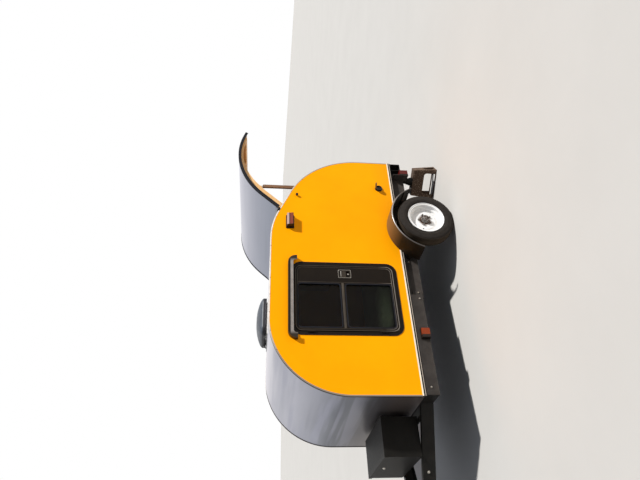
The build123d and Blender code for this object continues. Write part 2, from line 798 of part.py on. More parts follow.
inlet = cylinder_y(inlet_radius, inlet_x, inlet_z, half_width, half_width + inlet_flange)
inlet += cylinder_y(inlet_barrel_radius, inlet_x, inlet_z, half_width, half_width + inlet_barrel)
inlet -= cylinder_y(inlet_barrel_radius - inlet_barrel_wall, inlet_x, inlet_z,
                    half_width + inlet_flange, far)
for angle in (-90, 0, 90):
    pin_x = inlet_x + inlet_pin_circle * sin(radians(angle))
    pin_z = inlet_z - inlet_pin_circle * cos(radians(angle))
    inlet += cylinder_y(inlet_pin_radius, pin_x, pin_z, half_width,
                        half_width + inlet_barrel - inlet_pin_radius)
cover_hinge = inlet_z + inlet_radius - inlet_flange
cover_half = cover_hinge_size / 2
inlet += block(inlet_x - cover_hinge_width / 2, inlet_x + cover_hinge_width / 2, half_width,
               half_width + inlet_barrel + cover_half, cover_hinge - cover_half,
               cover_hinge + cover_half)
cover = Cylinder(inlet_barrel_radius, inlet_flange)
inlet += Pos(inlet_x, half_width + inlet_barrel + inlet_barrel_radius,
             cover_hinge + cover_lift) * cover
parts["power_inlet"] = inlet

# Roof vent: a curb round the opening and a smoked dome hinged at its front edge
roof_top = up(wall_height) + skin_thickness
vent_x = aft(vent_aft)
vent_base = Pos(vent_x, 0, roof_top) * extrude(Rectangle(vent_size, vent_size), amount=vent_flange)
curb_size = vent_opening + 2 * vent_curb
curb = RectangleRounded(curb_size, curb_size, vent_curb * 3)
vent_base += Pos(vent_x, 0, roof_top) * extrude(curb, amount=vent_curb_height)
vent_mouth = RectangleRounded(vent_opening, vent_opening, vent_curb * 2)
vent_base -= Pos(vent_x, 0, roof_top - 1) * extrude(vent_mouth, amount=vent_curb_height + 2)
lid_base = roof_top + vent_lid_lift
dome_height = vent_lid_height
dome = extrude(RectangleRounded(vent_lid_size, vent_lid_size, vent_lid_radius),
               amount=dome_height, taper=vent_lid_taper)
dome = fillet(dome.edges().group_by(Axis.Z)[-1], vent_lid_wall * 5)
dome_inside = extrude(RectangleRounded(vent_lid_size - 2 * vent_lid_wall,
                                       vent_lid_size - 2 * vent_lid_wall,
                                       vent_lid_radius - vent_lid_wall),
                      amount=dome_height - vent_lid_wall, taper=vent_lid_taper)
dome_inside = fillet(dome_inside.edges().group_by(Axis.Z)[-1], vent_lid_wall * 4)
dome = Pos(vent_x, 0, lid_base) * (dome - dome_inside)
vent_hinge_x = vent_x + vent_lid_size / 2 + vent_knuckle + vent_hinge_gap
vent_hinge_z = roof_top + vent_flange + vent_knuckle + 1
vent_fixed, vent_moving = hinge(vent_knuckle / 2, vent_knuckle, knuckle_length, knuckle_gap)
for y in (-vent_opening / 3, vent_opening / 3):
    place = Pos(vent_hinge_x, y, vent_hinge_z) * Rot(90, 0, 0)
    vent_base += place * vent_fixed
    for side in (-1, 1):
        middle = y + side * (knuckle_length * 0.75 + knuckle_gap)
        vent_base += block(vent_hinge_x - vent_knuckle / 2, vent_hinge_x + vent_knuckle / 2,
                           middle - knuckle_length / 4, middle + knuckle_length / 4,
                           roof_top + vent_flange, vent_hinge_z)
    dome += place * vent_moving
    link = block(vent_hinge_x - vent_knuckle - 4, vent_hinge_x, y - knuckle_length / 2,
                 y + knuckle_length / 2, vent_hinge_z, vent_hinge_z + vent_knuckle)
    dome += link - place * Cylinder(vent_knuckle / 2 + hinge_fit, knuckle_length * 2)
parts["vent_base"] = vent_base
parts["vent_lid"] = dome

# Chassis rails: flush at the front, set in and deeper behind the joint
rail_top = deck_bottom


def channel(width, height, wall):
    """Open C section in its own XY plane, its web on the right."""
    section = Rectangle(width, height)
    return section - Pos(-wall, 0) * Rectangle(width, height - 2 * wall)


def rail(x_low, x_high, y_outer, height):
    """C rail along X under the deck, its web outboard."""
    section = Pos(y_outer - rail_flange / 2, rail_top - height / 2) * channel(
        rail_flange, height, rail_wall)
    return Pos(x_low, 0, 0) * extrude(Plane.YZ * section, amount=x_high - x_low)


front_rail = rail(aft(front_rail_end), aft(front_rail_start), half_width, front_rail_height)
parts["front_rails"] = both_sides(front_rail)
rear_rail_side = half_width - rear_rail_inset
rear_rail_front = front_rail_end + joint_plate
rear_rail = rail(aft(body_length - end_beam), aft(rear_rail_front), rear_rail_side,
                 rear_rail_height)
joint_top = rail_top - joint_drop
joint = block(aft(rear_rail_front), aft(front_rail_end), rear_rail_side - rail_flange, half_width,
              rail_top - front_rail_height, rail_top)
joint += block(aft(rear_rail_front + joint_length), aft(rear_rail_front), rear_rail_side,
               rear_rail_side + joint_plate, joint_top - joint_height, joint_top)
parts["rear_rails"] = both_sides(rear_rail + joint)
cross_members = []
front_web = half_width - rail_wall
rear_web = rear_rail_side - rail_wall
for start, side, depth in ((front_rail_start, front_web, front_rail_height - 2 * rail_wall),
                           (front_rail_end - rail_flange - cross_joint_gap, front_web,
                            front_rail_height - 2 * rail_wall),
                           (axle_aft - cross_before_axle, rear_web, cross_depth),
                           (axle_aft + cross_behind_axle, rear_web, cross_depth)):
    section = Pos(aft(start) - rail_flange / 2, rail_top - rail_wall - depth / 2) * channel(
        rail_flange, depth, rail_wall)
    cross_members.append(slab(section, -side, side))
end_x = aft(body_length)
end_half = half_width - end_beam_inset
end_tube = block(end_x, end_x + end_beam, -end_half, end_half, rail_top - front_rail_height, rail_top)
end_tube -= block(end_x + rail_wall, end_x + end_beam - rail_wall, -end_half - 1, end_half + 1,
                  rail_top - front_rail_height + rail_wall, rail_top - rail_wall)
cross_members.append(end_tube)
parts["cross_members"] = Compound(children=cross_members)

# Tongue: two channels that meet at the coupler
tongue_low = rail_top - front_rail_height / 2
tongue_section = Pos(0, tongue_low) * channel(rail_flange, front_rail_height, rail_wall)
tongue_long = 2 * tongue_end
tongue = Pos(-tongue_long * 0.75, 0, 0) * extrude(Plane.YZ * tongue_section, amount=tongue_long)
tongue = Pos(aft(-tongue_end), tongue_end_side, 0) * Rot(0, 0, -tongue_half_angle) * tongue
tongue &= block(aft(front_rail_start), aft(-tongue_end), 0, far, 0, far)
tongue += mirrored(tongue)


def tongue_side(distance):
    """Y of the tongue rail's middle at a distance ahead of the front wall."""
    return tongue_end_side + (tongue_end - distance) * tan(radians(tongue_half_angle))


for distance in (box_rear + strap_width, box_front - strap_width):
    tongue += block(aft(-distance) - strap_width / 2, aft(-distance) + strap_width / 2,
                    -tongue_side(distance), tongue_side(distance),
                    rail_top, rail_top + strap_thickness)
parts["tongue_frame"] = tongue

# Tongue box with its lid
box_floor = rail_top + strap_thickness
box_top = box_floor + box_height - lid_height
box_half = box_width / 2
box = block(aft(-box_rear), aft(-box_front), -box_half, box_half, box_floor, box_top)
box -= block(aft(-box_rear) + box_wall, aft(-box_front) - box_wall, -box_half + box_wall,
             box_half - box_wall, box_floor + box_wall, far)
lid_over = box_wall
lid_low = box_top + lid_gap
lid = block(aft(-box_rear) - lid_over, aft(-box_front) + lid_over, -box_half - lid_over,
            box_half + lid_over, lid_low, lid_low + lid_height)
lid -= block(aft(-box_rear) - lid_over + box_wall, aft(-box_front) + lid_over - box_wall,
             -box_half, box_half, lid_low - 1, lid_low + lid_height - box_wall)
lid_hinge_x = aft(-box_rear) - lid_over - vent_knuckle - lid_hinge_gap
lid_hinge_z = box_top
for y in (-box_half * lid_hinge_share, box_half * lid_hinge_share):
    place = Pos(lid_hinge_x, y, lid_hinge_z) * Rot(90, 0, 0)
    box += place * vent_fixed
    for side in (-1, 1):
        middle = y + side * (knuckle_length * 0.75 + knuckle_gap)
        box += block(lid_hinge_x, aft(-box_rear), middle - knuckle_length / 4,
                     middle + knuckle_length / 4, lid_hinge_z - vent_knuckle,
                     lid_hinge_z - vent_knuckle / 2)
    lid += place * vent_moving
    link = block(lid_hinge_x, aft(-box_rear) - lid_over, y - knuckle_length / 2,
                 y + knuckle_length / 2, lid_hinge_z + lid_gap, lid_hinge_z + vent_knuckle)
    lid += link - place * Cylinder(vent_knuckle / 2 + hinge_fit, knuckle_length * 2)
parts["tongue_box"] = box
parts["tongue_box_lid"] = lid

# Coupler: a plate over the tongue's end and a cup for the ball, open underneath
ball_x = aft(-ball_reach)
coupler_top = rail_top + jack_plate
cup_radius = coupler_width / 2
plate_back = tongue_end - coupler_plate_lap
side_back = tongue_side(plate_back) + rail_flange / 2
coupler_plan = make_face(Polyline((aft(-plate_back), -side_back), (aft(-tongue_end), -cup_radius),
                                  (ball_x, -cup_radius), (ball_x, cup_radius),
                                  (aft(-tongue_end), cup_radius), (aft(-plate_back), side_back),
                                  (aft(-plate_back), -side_back)))
coupler = Pos(0, 0, rail_top) * extrude(coupler_plan, amount=jack_plate)
coupler += block(aft(-tongue_end), ball_x, -cup_radius, cup_radius, coupler_low, coupler_top)
coupler += Pos(ball_x, 0, coupler_low) * Cylinder(
    cup_radius, coupler_top - coupler_low, align=(Align.CENTER, Align.CENTER, Align.MIN))
coupler -= block(aft(-tongue_end) - 1, ball_x - ball_radius - 2 * coupler_wall,
                 -cup_radius + coupler_wall, cup_radius - coupler_wall, 0,
                 rail_top - coupler_wall)
socket_edges = [
    Line((0, coupler_low - 1), (ball_radius, coupler_low - 1)),
    Line((ball_radius, coupler_low - 1), (ball_radius, ball_height)),
    ThreePointArc((ball_radius, ball_height),
                  (ball_radius * cos(radians(45)), ball_height + ball_radius * sin(radians(45))),
                  (0, ball_height + ball_radius)),
    Line((0, ball_height + ball_radius), (0, coupler_low - 1)),
]
coupler -= Pos(ball_x, 0, 0) * revolve(Plane.XZ * make_face(socket_edges), Axis.Z)
latch_back = ball_x - cup_radius
lever_top = coupler_top + latch_lever_height
lever = block(latch_back - latch_lever_length, latch_back, -latch_lever_width / 2,
              latch_lever_width / 2, coupler_top, lever_top)
handle = block(-latch_handle_length + latch_handle_lap, latch_handle_lap, -latch_handle_width / 2,
               latch_handle_width / 2, -latch_handle_thickness, 0)
lever += Pos(latch_back - latch_lever_length, 0, lever_top) * Rot(0, -latch_handle_angle, 0) * handle
parts["coupler"] = coupler + lever

# Tongue jack: plate and outer tube on the tongue, inner tube and foot that slide up
jack_x = aft(-jack_reach)
jack_side = tongue_side(jack_reach) + rail_flange / 2
plate = block(jack_x - jack_plate_back, jack_x + jack_plate_front, -jack_side, jack_side,
              rail_top, rail_top + jack_plate)
tube = Pos(jack_x, 0, jack_low) * Cylinder(
    jack_outer, jack_top - jack_low, align=(Align.CENTER, Align.CENTER, Align.MIN))
jack = plate + tube
jack -= Pos(jack_x, 0, jack_low - 1) * Cylinder(
    jack_bore, jack_top - jack_low + 1 - jack_cap, align=(Align.CENTER, Align.CENTER, Align.MIN))
crank_z = jack_top - crank_drop
crank_far = jack_outer + crank_shaft_reach
crank_near = crank_far - crank_arm_thickness
crank = cylinder_y(crank_shaft_radius, jack_x, crank_z, (jack_bore + jack_outer) / 2, crank_far)
crank += block(jack_x - crank_arm_width / 2, jack_x + crank_arm_width / 2, crank_near, crank_far,
               crank_z + crank_shaft_radius - crank_arm_length, crank_z + crank_shaft_radius)
grip_z = crank_z + crank_shaft_radius + crank_arm_end - crank_arm_length
crank += cylinder_y(crank_grip_radius, jack_x, grip_z, crank_near, crank_near + crank_grip_length)
parts["jack_tube"] = jack + crank
leg_radius = jack_bore - jack_fit
jack_leg_top = jack_top - jack_cap - jack_end_gap - jack_travel
leg = Pos(jack_x, 0, 0) * Cylinder(leg_radius, jack_leg_top,
                                   align=(Align.CENTER, Align.CENTER, Align.MIN))
leg += Pos(jack_x, 0, 0) * Cylinder(jack_foot_radius, jack_foot,
                                    align=(Align.CENTER, Align.CENTER, Align.MIN))
parts["jack_leg"] = leg

# Axle, leaf springs and their hangers
axle_x = aft(axle_aft)
axle_z = tyre_radius
spring_y = rear_rail_side - rail_flange / 2
axle_half = tyre_side - hub_reach_in - axle_end_gap
spindle_half = tyre_side + spindle_past_middle
axle = cylinder_y(axle_radius, axle_x, axle_z, -axle_half, axle_half)
axle += cylinder_y(spindle_radius, axle_x, axle_z, -spindle_half, spindle_half)
spring_bottom = axle_z + axle_radius + spring_pad_rise
for y in (-spring_y, spring_y):
    axle += block(axle_x - spring_pad_length / 2, axle_x + spring_pad_length / 2,
                  y - spring_width / 2, y + spring_width / 2, axle_z, spring_bottom)
parts["axle"] = axle


def arc_strip(centre, inner, outer, start, end):
    """Face between two radii and two angles, the angles counted from straight up to the rear."""
    middle = (start + end) / 2
    edges = [
        ThreePointArc(*[on_circle(centre, outer, a) for a in (start, middle, end)]),
        Line(on_circle(centre, outer, end), on_circle(centre, inner, end)),
        ThreePointArc(*[on_circle(centre, inner, a) for a in (end, middle, start)]),
        Line(on_circle(centre, inner, start), on_circle(centre, outer, start)),
    ]
    return make_face(edges)


spring_radius = ((spring_length / 2) ** 2 + spring_sag ** 2) / (2 * spring_sag)
main_leaf_z = spring_bottom + spring_leaf * 1.5
spring_centre = (axle_x, main_leaf_z + spring_radius)
eye_z = main_leaf_z + spring_sag
spring = None
for reach, layer in ((spring_length / 2, 0), (spring_length * second_leaf_share, 1)):
    swing = degrees(asin(reach / spring_radius))
    middle = spring_radius + layer * spring_leaf
    strip = arc_strip(spring_centre, middle - spring_leaf / 2, middle + spring_leaf / 2,
                      180 - swing, 180 + swing)
    strip = slab(strip, spring_y - spring_width / 2, spring_y + spring_width / 2)
    spring = strip if spring is None else spring + strip
hangers = []
bolt_radius = spring_eye / 2
for end in (-1, 1):
    x = axle_x + end * spring_length / 2
    spring += cylinder_y(spring_eye, x, eye_z, spring_y - spring_width / 2,
                         spring_y + spring_width / 2)
    spring -= cylinder_y(bolt_radius + spring_bolt_fit, x, eye_z, 0, far)
    outer = spring_width / 2 + 1 + hanger_plate
    hanger = block(x - hanger_length / 2, x + hanger_length / 2, spring_y - outer, spring_y + outer,
                   rail_top - rear_rail_height - hanger_plate, rail_top - rear_rail_height)
    for side in (-1, 1):
        y = spring_y + side * (outer - hanger_plate / 2)
        hanger += block(x - hanger_arm / 2, x + hanger_arm / 2, y - hanger_plate / 2,
                        y + hanger_plate / 2, eye_z - hanger_below_eye,
                        rail_top - rear_rail_height)
    bolt_half = outer + hanger_bolt_past
    hanger += cylinder_y(bolt_radius, x, eye_z, spring_y - bolt_half, spring_y + bolt_half)
    hangers.append(hanger)
parts["leaf_springs"] = both_sides(spring)
parts["spring_hangers"] = both_sides(Compound(children=hangers))

# Wheels: tyre, steel rim with a deep disc, and the hub, all turned about the axle
half_rim = rim_width / 2
half_tyre = tyre_width / 2
bead = half_rim - bead_inset
bead_top = rim_flange + bead_above_rim
bead_seat = rim_radius + bead_fit
side_radius = (bead_top + tyre_radius) / 2
shoulder_in = tyre_radius - tread_edge_drop
shoulder_out = half_tyre - tread_edge_inset
tyre_outline = make_face([
    Line((bead_top, -bead), (bead_seat, -bead)),
    Line((bead_seat, -bead), (bead_seat, bead)),
    Line((bead_seat, bead), (bead_top, bead)),
    ThreePointArc((bead_top, bead), (side_radius, half_tyre), (shoulder_in, shoulder_out)),
    ThreePointArc((shoulder_in, shoulder_out), (tyre_radius, 0), (shoulder_in, -shoulder_out)),
    ThreePointArc((shoulder_in, -shoulder_out), (side_radius, -half_tyre), (bead_top, -bead)),
])
rim_points = [(rim_flange, -half_rim), (rim_flange, rim_wall - half_rim),
              (rim_radius, rim_lip - half_rim), (rim_radius, -well_inner_end),
              (rim_well, well_slope - well_inner_end), (rim_well, well_outer_end - well_slope),
              (rim_radius, well_outer_end), (rim_radius, half_rim - rim_lip),
              (rim_flange, half_rim - rim_wall), (rim_flange, half_rim)]
rim_inner = [(r - rim_wall, y) for r, y in reversed(rim_points)]
rim_outline = make_face(Polyline(*rim_points, *rim_inner, rim_points[0]))
hub_hole = hub_radius - disc_hole_inset
disc_front = [(rim_well - rim_wall / 2, -disc_sunk), (disc_sunk_radius, -disc_sunk),
              (disc_crown_radius, disc_crown), (disc_middle_radius, disc_middle),
              (hub_hole, disc_hole_inset)]
disc_back = [(r, y - rim_wall) for r, y in reversed(disc_front)]
disc_outline = make_face(Polyline(*disc_front, *disc_back, disc_front[0]))
hub_bore = spindle_radius + hinge_fit
hub_face = disc_hole_inset - rim_wall
hub_outline = make_face(Polyline((hub_bore, -hub_reach_in), (hub_radius, -hub_reach_in),
                                 (hub_radius, -hub_flange_back), (hub_flange, -hub_flange_back),
                                 (hub_flange, hub_face), (hub_hole, hub_face),
                                 (hub_hole, hub_front), (hub_cap_radius, hub_front),
                                 (hub_cap_radius, hub_cap_start),
                                 (hub_cap_radius - hub_cap_bevel, hub_cap_reach),
                                 (0, hub_cap_reach), (0, hub_cap_inside),
                                 (hub_bore, hub_cap_inside), (hub_bore, -hub_reach_in)))


def turned(outline, y_middle):
    """Solid of revolution about the wheel's axis, from an outline of radius and distance out."""
    solid = revolve(outline, Axis.Y)
    return Pos(axle_x, y_middle, axle_z) * solid


tyre = turned(tyre_outline, tyre_side)
rim = turned(rim_outline, tyre_side) + turned(disc_outline, tyre_side)
hub = turned(hub_outline, tyre_side)
for side, place in (("left", lambda s: s), ("right", mirrored)):
    parts["tyre_" + side] = place(tyre)
    parts["rim_" + side] = place(rim + hub)

# Fenders with a turned-down lip, on stays from the rear rails
fender_centre = (axle_x, axle_z - fender_drop)
fender_in = half_width + sill_trim_proud + fender_gap
fender_out = fender_in + fender_width
sheet = arc_strip(fender_centre, fender_radius - fender_sheet, fender_radius,
                  -fender_front_angle, fender_rear_angle)
lip = arc_strip(fender_centre, fender_radius - fender_lip, fender_radius,
                -fender_front_angle, fender_rear_angle)
fender = slab(sheet, fender_in, fender_out)
fender += slab(lip, fender_out - fender_sheet, fender_out)
stay_outer = fender_radius - fender_sheet
for angle in (front_stay_inset - fender_front_angle, fender_rear_angle - rear_stay_inset):
    stay = arc_strip(fender_centre, stay_outer - stay_thickness, stay_outer,
                     angle - stay_half_angle, angle + stay_half_angle)
    fender += slab(stay, rear_rail_side, fender_out - fender_sheet)
parts["fenders"] = both_sides(fender)

# Side markers on the front rails
marker_z = rail_top - marker_drop - marker_height / 2
marker_x = aft(marker_aft)
marker = block(marker_x - marker_width / 2, marker_x + marker_width / 2, half_width,
               half_width + marker_base, marker_z - marker_height / 2, marker_z + marker_height / 2)
marker_face = half_width + marker_base
cover_half_width = marker_width / 2 - marker_border
cover_half_height = marker_height / 2 - marker_border
marker_cover = block(marker_x - cover_half_width, marker_x + cover_half_width,
                     marker_face, marker_face + marker_lens, marker_z - cover_half_height,
                     marker_z + cover_half_height)

# Tail lamps on plates that stand out from the rear rails
tail_x = aft(body_length - tail_lamp_from_tail)
tail_in = rear_rail_side + tail_lamp_gap
tail_high = rail_top - tail_drop
plate_top = rail_top - tail_plate_drop
tail_plates = block(tail_x, tail_x + tail_plate, rear_rail_side, tail_in + tail_width,
                    rail_top - rear_rail_height + tail_plate_bottom_gap, plate_top)
tail_plates += block(tail_x, tail_x + tail_plate, tail_in, tail_in + tail_width,
                     tail_high - tail_height, plate_top)
parts["tail_lamp_plates"] = both_sides(tail_plates)
tail_case = block(tail_x - tail_base, tail_x, tail_in, tail_in + tail_width,
                  tail_high - tail_height, tail_high)
parts["lamp_housings"] = both_sides(Compound(children=[base, marker, tail_case]))
tail_lens = block(tail_x - tail_depth, tail_x - tail_base, tail_in + tail_lens_border,
                  tail_in + tail_width - tail_lens_border,
                  tail_high - tail_height + tail_lens_border, tail_high - tail_lens_border)
parts["lamp_lenses"] = both_sides(Compound(children=[lens, marker_cover, tail_lens]))

# Three-legged axle stands under the rear rails
stand_x = aft(body_length - stand_from_tail)
stand_y = spring_y
base_circle = stand_side / 3 ** 0.5
top_circle = stand_top_side / 3 ** 0.5 + stand_top_round


def three_sided(radius, height):
    """Triangle of the stand at a height, one corner outboard."""
    return Pos(0, 0, height) * RegularPolygon(radius, 3, rotation=90 + stand_turn)


def pyramid(inset, low, high):
    """Tapered body of the stand, its sides moved in by inset."""
    return loft([three_sided(base_circle - 2 * inset, low), three_sided(top_circle - 2 * inset, high)])


stand = pyramid(0, 0, stand_height) - pyramid(stand_sheet, -1, stand_height - 2 * stand_sheet)
for corner in range(3):
    arch = Pos(stand_side / 2, 0, stand_arch) * Rot(0, 90, 0) * Cylinder(stand_arch, stand_side)
    arch += block(0, stand_side, -stand_arch, stand_arch, 2 * stand_bar, stand_arch)
    stand -= Rot(0, 0, 120 * corner + stand_turn - 90) * arch
ring = three_sided(base_circle, 0) - three_sided(base_circle - 4 * stand_bar, 0)
stand += extrude(ring, amount=2 * stand_bar)
stand = Pos(stand_x, stand_y, 0) * stand
post_top = rail_top - rear_rail_height
post_low = stand_height - post_overlap
post = Pos(stand_x, stand_y, post_low) * Cylinder(
    post_radius, post_top - post_low, align=(Align.CENTER, Align.CENTER, Align.MIN))
saddle_half = rail_flange / 2 - saddle_side_gap
post += block(stand_x - saddle_length / 2, stand_x + saddle_length / 2, stand_y - saddle_half,
              stand_y + saddle_half, post_top - saddle_thickness, post_top)
parts["axle_stands"] = both_sides(stand + post)

# Mattress and folded quilt
mattress_half = inner_half - mattress_gap
mattress_front = roof_board + mattress_gap
mattress = RectangleRounded(lower_bulkhead_aft - mattress_gap - mattress_front,
                            2 * mattress_half, mattress_corner)
mattress_x = (aft(mattress_front) + aft(lower_bulkhead_aft - mattress_gap)) / 2
parts["mattress"] = Pos(mattress_x, 0, up(bedding_gap)) * extrude(mattress, amount=mattress_thickness)
quilt = RectangleRounded(quilt_length, quilt_width, quilt_corner)
quilt = extrude(quilt, amount=quilt_height)
quilt = fillet(quilt.edges().group_by(Axis.Z)[-1], quilt_edge)
quilt_x = aft(quilt_aft) - quilt_length / 2
quilt_y = mattress_half - quilt_wall_gap - quilt_width / 2
parts["quilt"] = Pos(quilt_x, quilt_y, up(mattress_thickness + 2 * bedding_gap)) * quilt

os.makedirs("parts", exist_ok=True)
for name, solid in parts.items():
    solid.label = name
    export_step(solid, "parts/" + name + ".step")
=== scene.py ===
# %% [markdown]
# The trailer comes in as a fixed frame of finished solids, each in its real place in metres.
# Everything else is fitted to those solids. The solids could be rebuilt here, but then the picture
# and the exact model would drift apart, so they stay and get their finishes and small fittings.

# %% Load the frame
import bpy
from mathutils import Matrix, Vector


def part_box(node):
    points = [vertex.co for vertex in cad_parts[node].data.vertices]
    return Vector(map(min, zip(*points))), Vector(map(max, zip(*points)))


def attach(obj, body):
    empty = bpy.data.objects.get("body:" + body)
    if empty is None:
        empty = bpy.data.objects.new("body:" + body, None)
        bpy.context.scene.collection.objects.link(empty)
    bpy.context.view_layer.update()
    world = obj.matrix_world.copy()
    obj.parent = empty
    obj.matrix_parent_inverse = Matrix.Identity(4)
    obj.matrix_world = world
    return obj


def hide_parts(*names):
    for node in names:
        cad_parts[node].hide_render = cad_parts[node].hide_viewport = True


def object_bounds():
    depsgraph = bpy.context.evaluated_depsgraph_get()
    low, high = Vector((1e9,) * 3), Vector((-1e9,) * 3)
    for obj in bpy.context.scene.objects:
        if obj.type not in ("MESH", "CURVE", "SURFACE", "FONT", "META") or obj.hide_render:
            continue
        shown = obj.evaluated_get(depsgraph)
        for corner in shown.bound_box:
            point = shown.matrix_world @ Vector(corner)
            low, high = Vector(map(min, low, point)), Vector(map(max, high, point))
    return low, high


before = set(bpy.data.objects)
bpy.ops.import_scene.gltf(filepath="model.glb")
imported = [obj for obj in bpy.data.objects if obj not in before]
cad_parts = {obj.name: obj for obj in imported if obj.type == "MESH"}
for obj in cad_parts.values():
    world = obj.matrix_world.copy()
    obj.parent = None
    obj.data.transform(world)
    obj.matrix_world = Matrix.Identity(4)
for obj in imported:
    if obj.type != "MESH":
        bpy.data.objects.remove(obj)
cad_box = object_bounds()

# %% Tools of the trade
from math import cos, pi, radians, sin

import bmesh
import bpy
from mathutils import Matrix, Vector

low, high = Vector(cad_box[0]), Vector(cad_box[1])
print("size in metres:", [round(v, 3) for v in high - low])

# %% [markdown]
# The photograph was taken with a phone held on its side, so the trailer lies across the frame.
# A camera can be aimed by a tracking constraint, but a measured one is better set by its angles:
# where it stands, which way it points and how it is rolled. The lens length came from the same fit.

# %% The camera
camera_place = (2.2195, 4.383, 1.690)
camera_heading = 143.03
camera_pitch = -5.87
camera_roll = -88.21
lens_mm = 29.22
film_mm = 36.0

camera_data = bpy.data.cameras.new("view")
camera_data.lens = lens_mm
camera_data.sensor_width = film_mm
camera = bpy.data.objects.new("view", camera_data)
turns = (Matrix.Rotation(radians(camera_heading), 4, "Z")
         @ Matrix.Rotation(radians(90 + camera_pitch), 4, "X")
         @ Matrix.Rotation(radians(camera_roll), 4, "Z"))
camera.matrix_world = Matrix.Translation(camera_place) @ turns
bpy.context.collection.objects.link(camera)
bpy.context.scene.camera = camera
print("camera at", camera_place)

# %% [markdown]
# Paint shops name colours by hex codes, which are stored for screens. The renderer works with
# light, so each code is turned to linear light once, in one place. The picture keeps the standard
# view, in which a colour shows about as it is written.

# %% Colours
bpy.context.scene.view_settings.view_transform = "Standard"


def linear(code):
    """A screen colour such as #FFAC00 as linear light with full alpha."""
    screen = [int(code[i:i + 2], 16) / 255 for i in (1, 3, 5)]
    light = [c / 12.92 if c <= 0.04045 else ((c + 0.055) / 1.055) ** 2.4 for c in screen]
    return (*light, 1.0)


print("wall yellow in linear light:", [round(c, 3) for c in linear("#FFAC00")])

# %% [markdown]
# A finish is a small network of nodes. They can be wired by hand in the editor; in code one helper
# adds any node, sets it up and links it. Words that are settings of the node are set as such, and
# the rest are its sockets.


# %% Adding a node
def add(material, kind, settings=None, links=None):
    """Adds one shader node with its settings, and links other nodes' outputs to its inputs."""
    made = material.node_tree.nodes.new("ShaderNode" + kind)
    for name, value in (settings or {}).items():
        if isinstance(name, str) and hasattr(made, name):
            setattr(made, name, value)
        else:
            made.inputs[name].default_value = value
    for name, source in (links or {}).items():
        material.node_tree.links.new(source, made.inputs[name])
    return made


def per_metre(size_mm):
    """Pattern repeats in a metre for a pattern of this size."""
    return 1000 / size_mm


print("a 4 mm pattern repeats", per_metre(4), "times in a metre")

# %% [markdown]
# No real surface is one flat colour. Paint is thicker here and thinner there, dust settles in
# patches and every material has a grain that breaks up its gloss. All the finishes share that
# base: two shades in patches of a real size, and a fine grain that drives gloss and bump. What
# sets one material apart, such as wood grain or rust, is laid over it afterwards.


# %% The base of every finish
def surface(name, shade, other_shade, patch_mm, roughness, grain_mm, grain_depth_mm,
            stretch=(1.0, 1.0, 1.0), **shader_settings):
    """A material with two shades in patches and a fine grain in its gloss and bump."""
    material = bpy.data.materials.new(name)
    material.use_nodes = True
    material.node_tree.nodes.clear()
    place = add(material, "TexCoord", {"name": "place"})
    laid = add(material, "Mapping", {"Scale": stretch}, {"Vector": place.outputs["Object"]})
    patches = add(material, "TexNoise", {"name": "patches", "Scale": per_metre(patch_mm),
                                         "Detail": 5.0, "Roughness": 0.6},
                  {"Vector": laid.outputs["Vector"]})
    spread = add(material, "MapRange", {"From Min": 0.35, "From Max": 0.65},
                 {"Value": patches.outputs["Fac"]})
    colour = add(material, "Mix", {"data_type": "RGBA", 6: linear(shade), 7: linear(other_shade)},
                 {0: spread.outputs["Result"]})
    grain = add(material, "TexNoise", {"Scale": per_metre(grain_mm), "Detail": 3.0},
                {"Vector": laid.outputs["Vector"]})
    gloss = add(material, "MapRange", {"From Min": 0.3, "From Max": 0.7,
                                       "To Min": roughness * 0.8, "To Max": roughness * 1.2},
                {"Value": grain.outputs["Fac"]})
    bump = add(material, "Bump", {"name": "bump", "Strength": 0.5,
                                  "Distance": grain_depth_mm / 1000},
               {"Height": grain.outputs["Fac"]})
    shader = add(material, "BsdfPrincipled", {"name": "shader", **shader_settings},
                 {"Base Color": colour.outputs[2], "Roughness": gloss.outputs["Result"],
                  "Normal": bump.outputs["Normal"]})
    add(material, "OutputMaterial", None, {"Surface": shader.outputs["BSDF"]})
    return material


# %% [markdown]
# Dust, rust, a second colour, painted light and painted shade: each is another colour laid where a
# mask is 1. The masks follow the object's own places in metres, so they stay on it in any pose.
# Pieces could be cut up by colour instead, but a real strip or sheet is one piece, and its joints
# would show.


# %% Masks and layers
def at_place(material):
    """Where on the object the finish is being looked up, in metres."""
    return material.node_tree.nodes["place"].outputs["Object"]


def patches_of(material):
    """The base's patches as a mask."""
    return material.node_tree.nodes["patches"].outputs["Fac"]


def along(material, axis, start, end):
    """A mask from 0 to 1 between two places along X, Y, Z or "side", away from the centre plane."""
    apart = add(material, "SeparateXYZ", None, {0: at_place(material)})
    place = apart.outputs["Y" if axis == "side" else axis]
    if axis == "side":
        place = add(material, "Math", {"operation": "ABSOLUTE"}, {0: place}).outputs[0]
    return add(material, "MapRange", {"From Min": start, "From Max": end},
               {"Value": place}).outputs["Result"]


def where(material, *masks):
    """Masks multiplied. A mask may also be given as its axis and two places."""
    made = [along(material, *m) if isinstance(m, tuple) else m for m in masks]
    whole = made[0]
    for mask in made[1:]:
        whole = add(material, "Math", {"operation": "MULTIPLY"}, {0: whole, 1: mask}).outputs[0]
    return whole


def flecks(material, size_mm, detail, start, end, most=1.0, stretch=(1.0, 1.0, 1.0)):
    """A mask of noise of a real size, which rises from 0 to its most between two levels."""
    laid = add(material, "Mapping", {"Scale": stretch}, {"Vector": at_place(material)})
    noise = add(material, "TexNoise", {"Scale": per_metre(size_mm), "Detail": detail},
                {"Vector": laid.outputs["Vector"]})
    return add(material, "MapRange", {"From Min": start, "From Max": end, "To Max": most},
               {"Value": noise.outputs["Fac"]}).outputs["Result"]


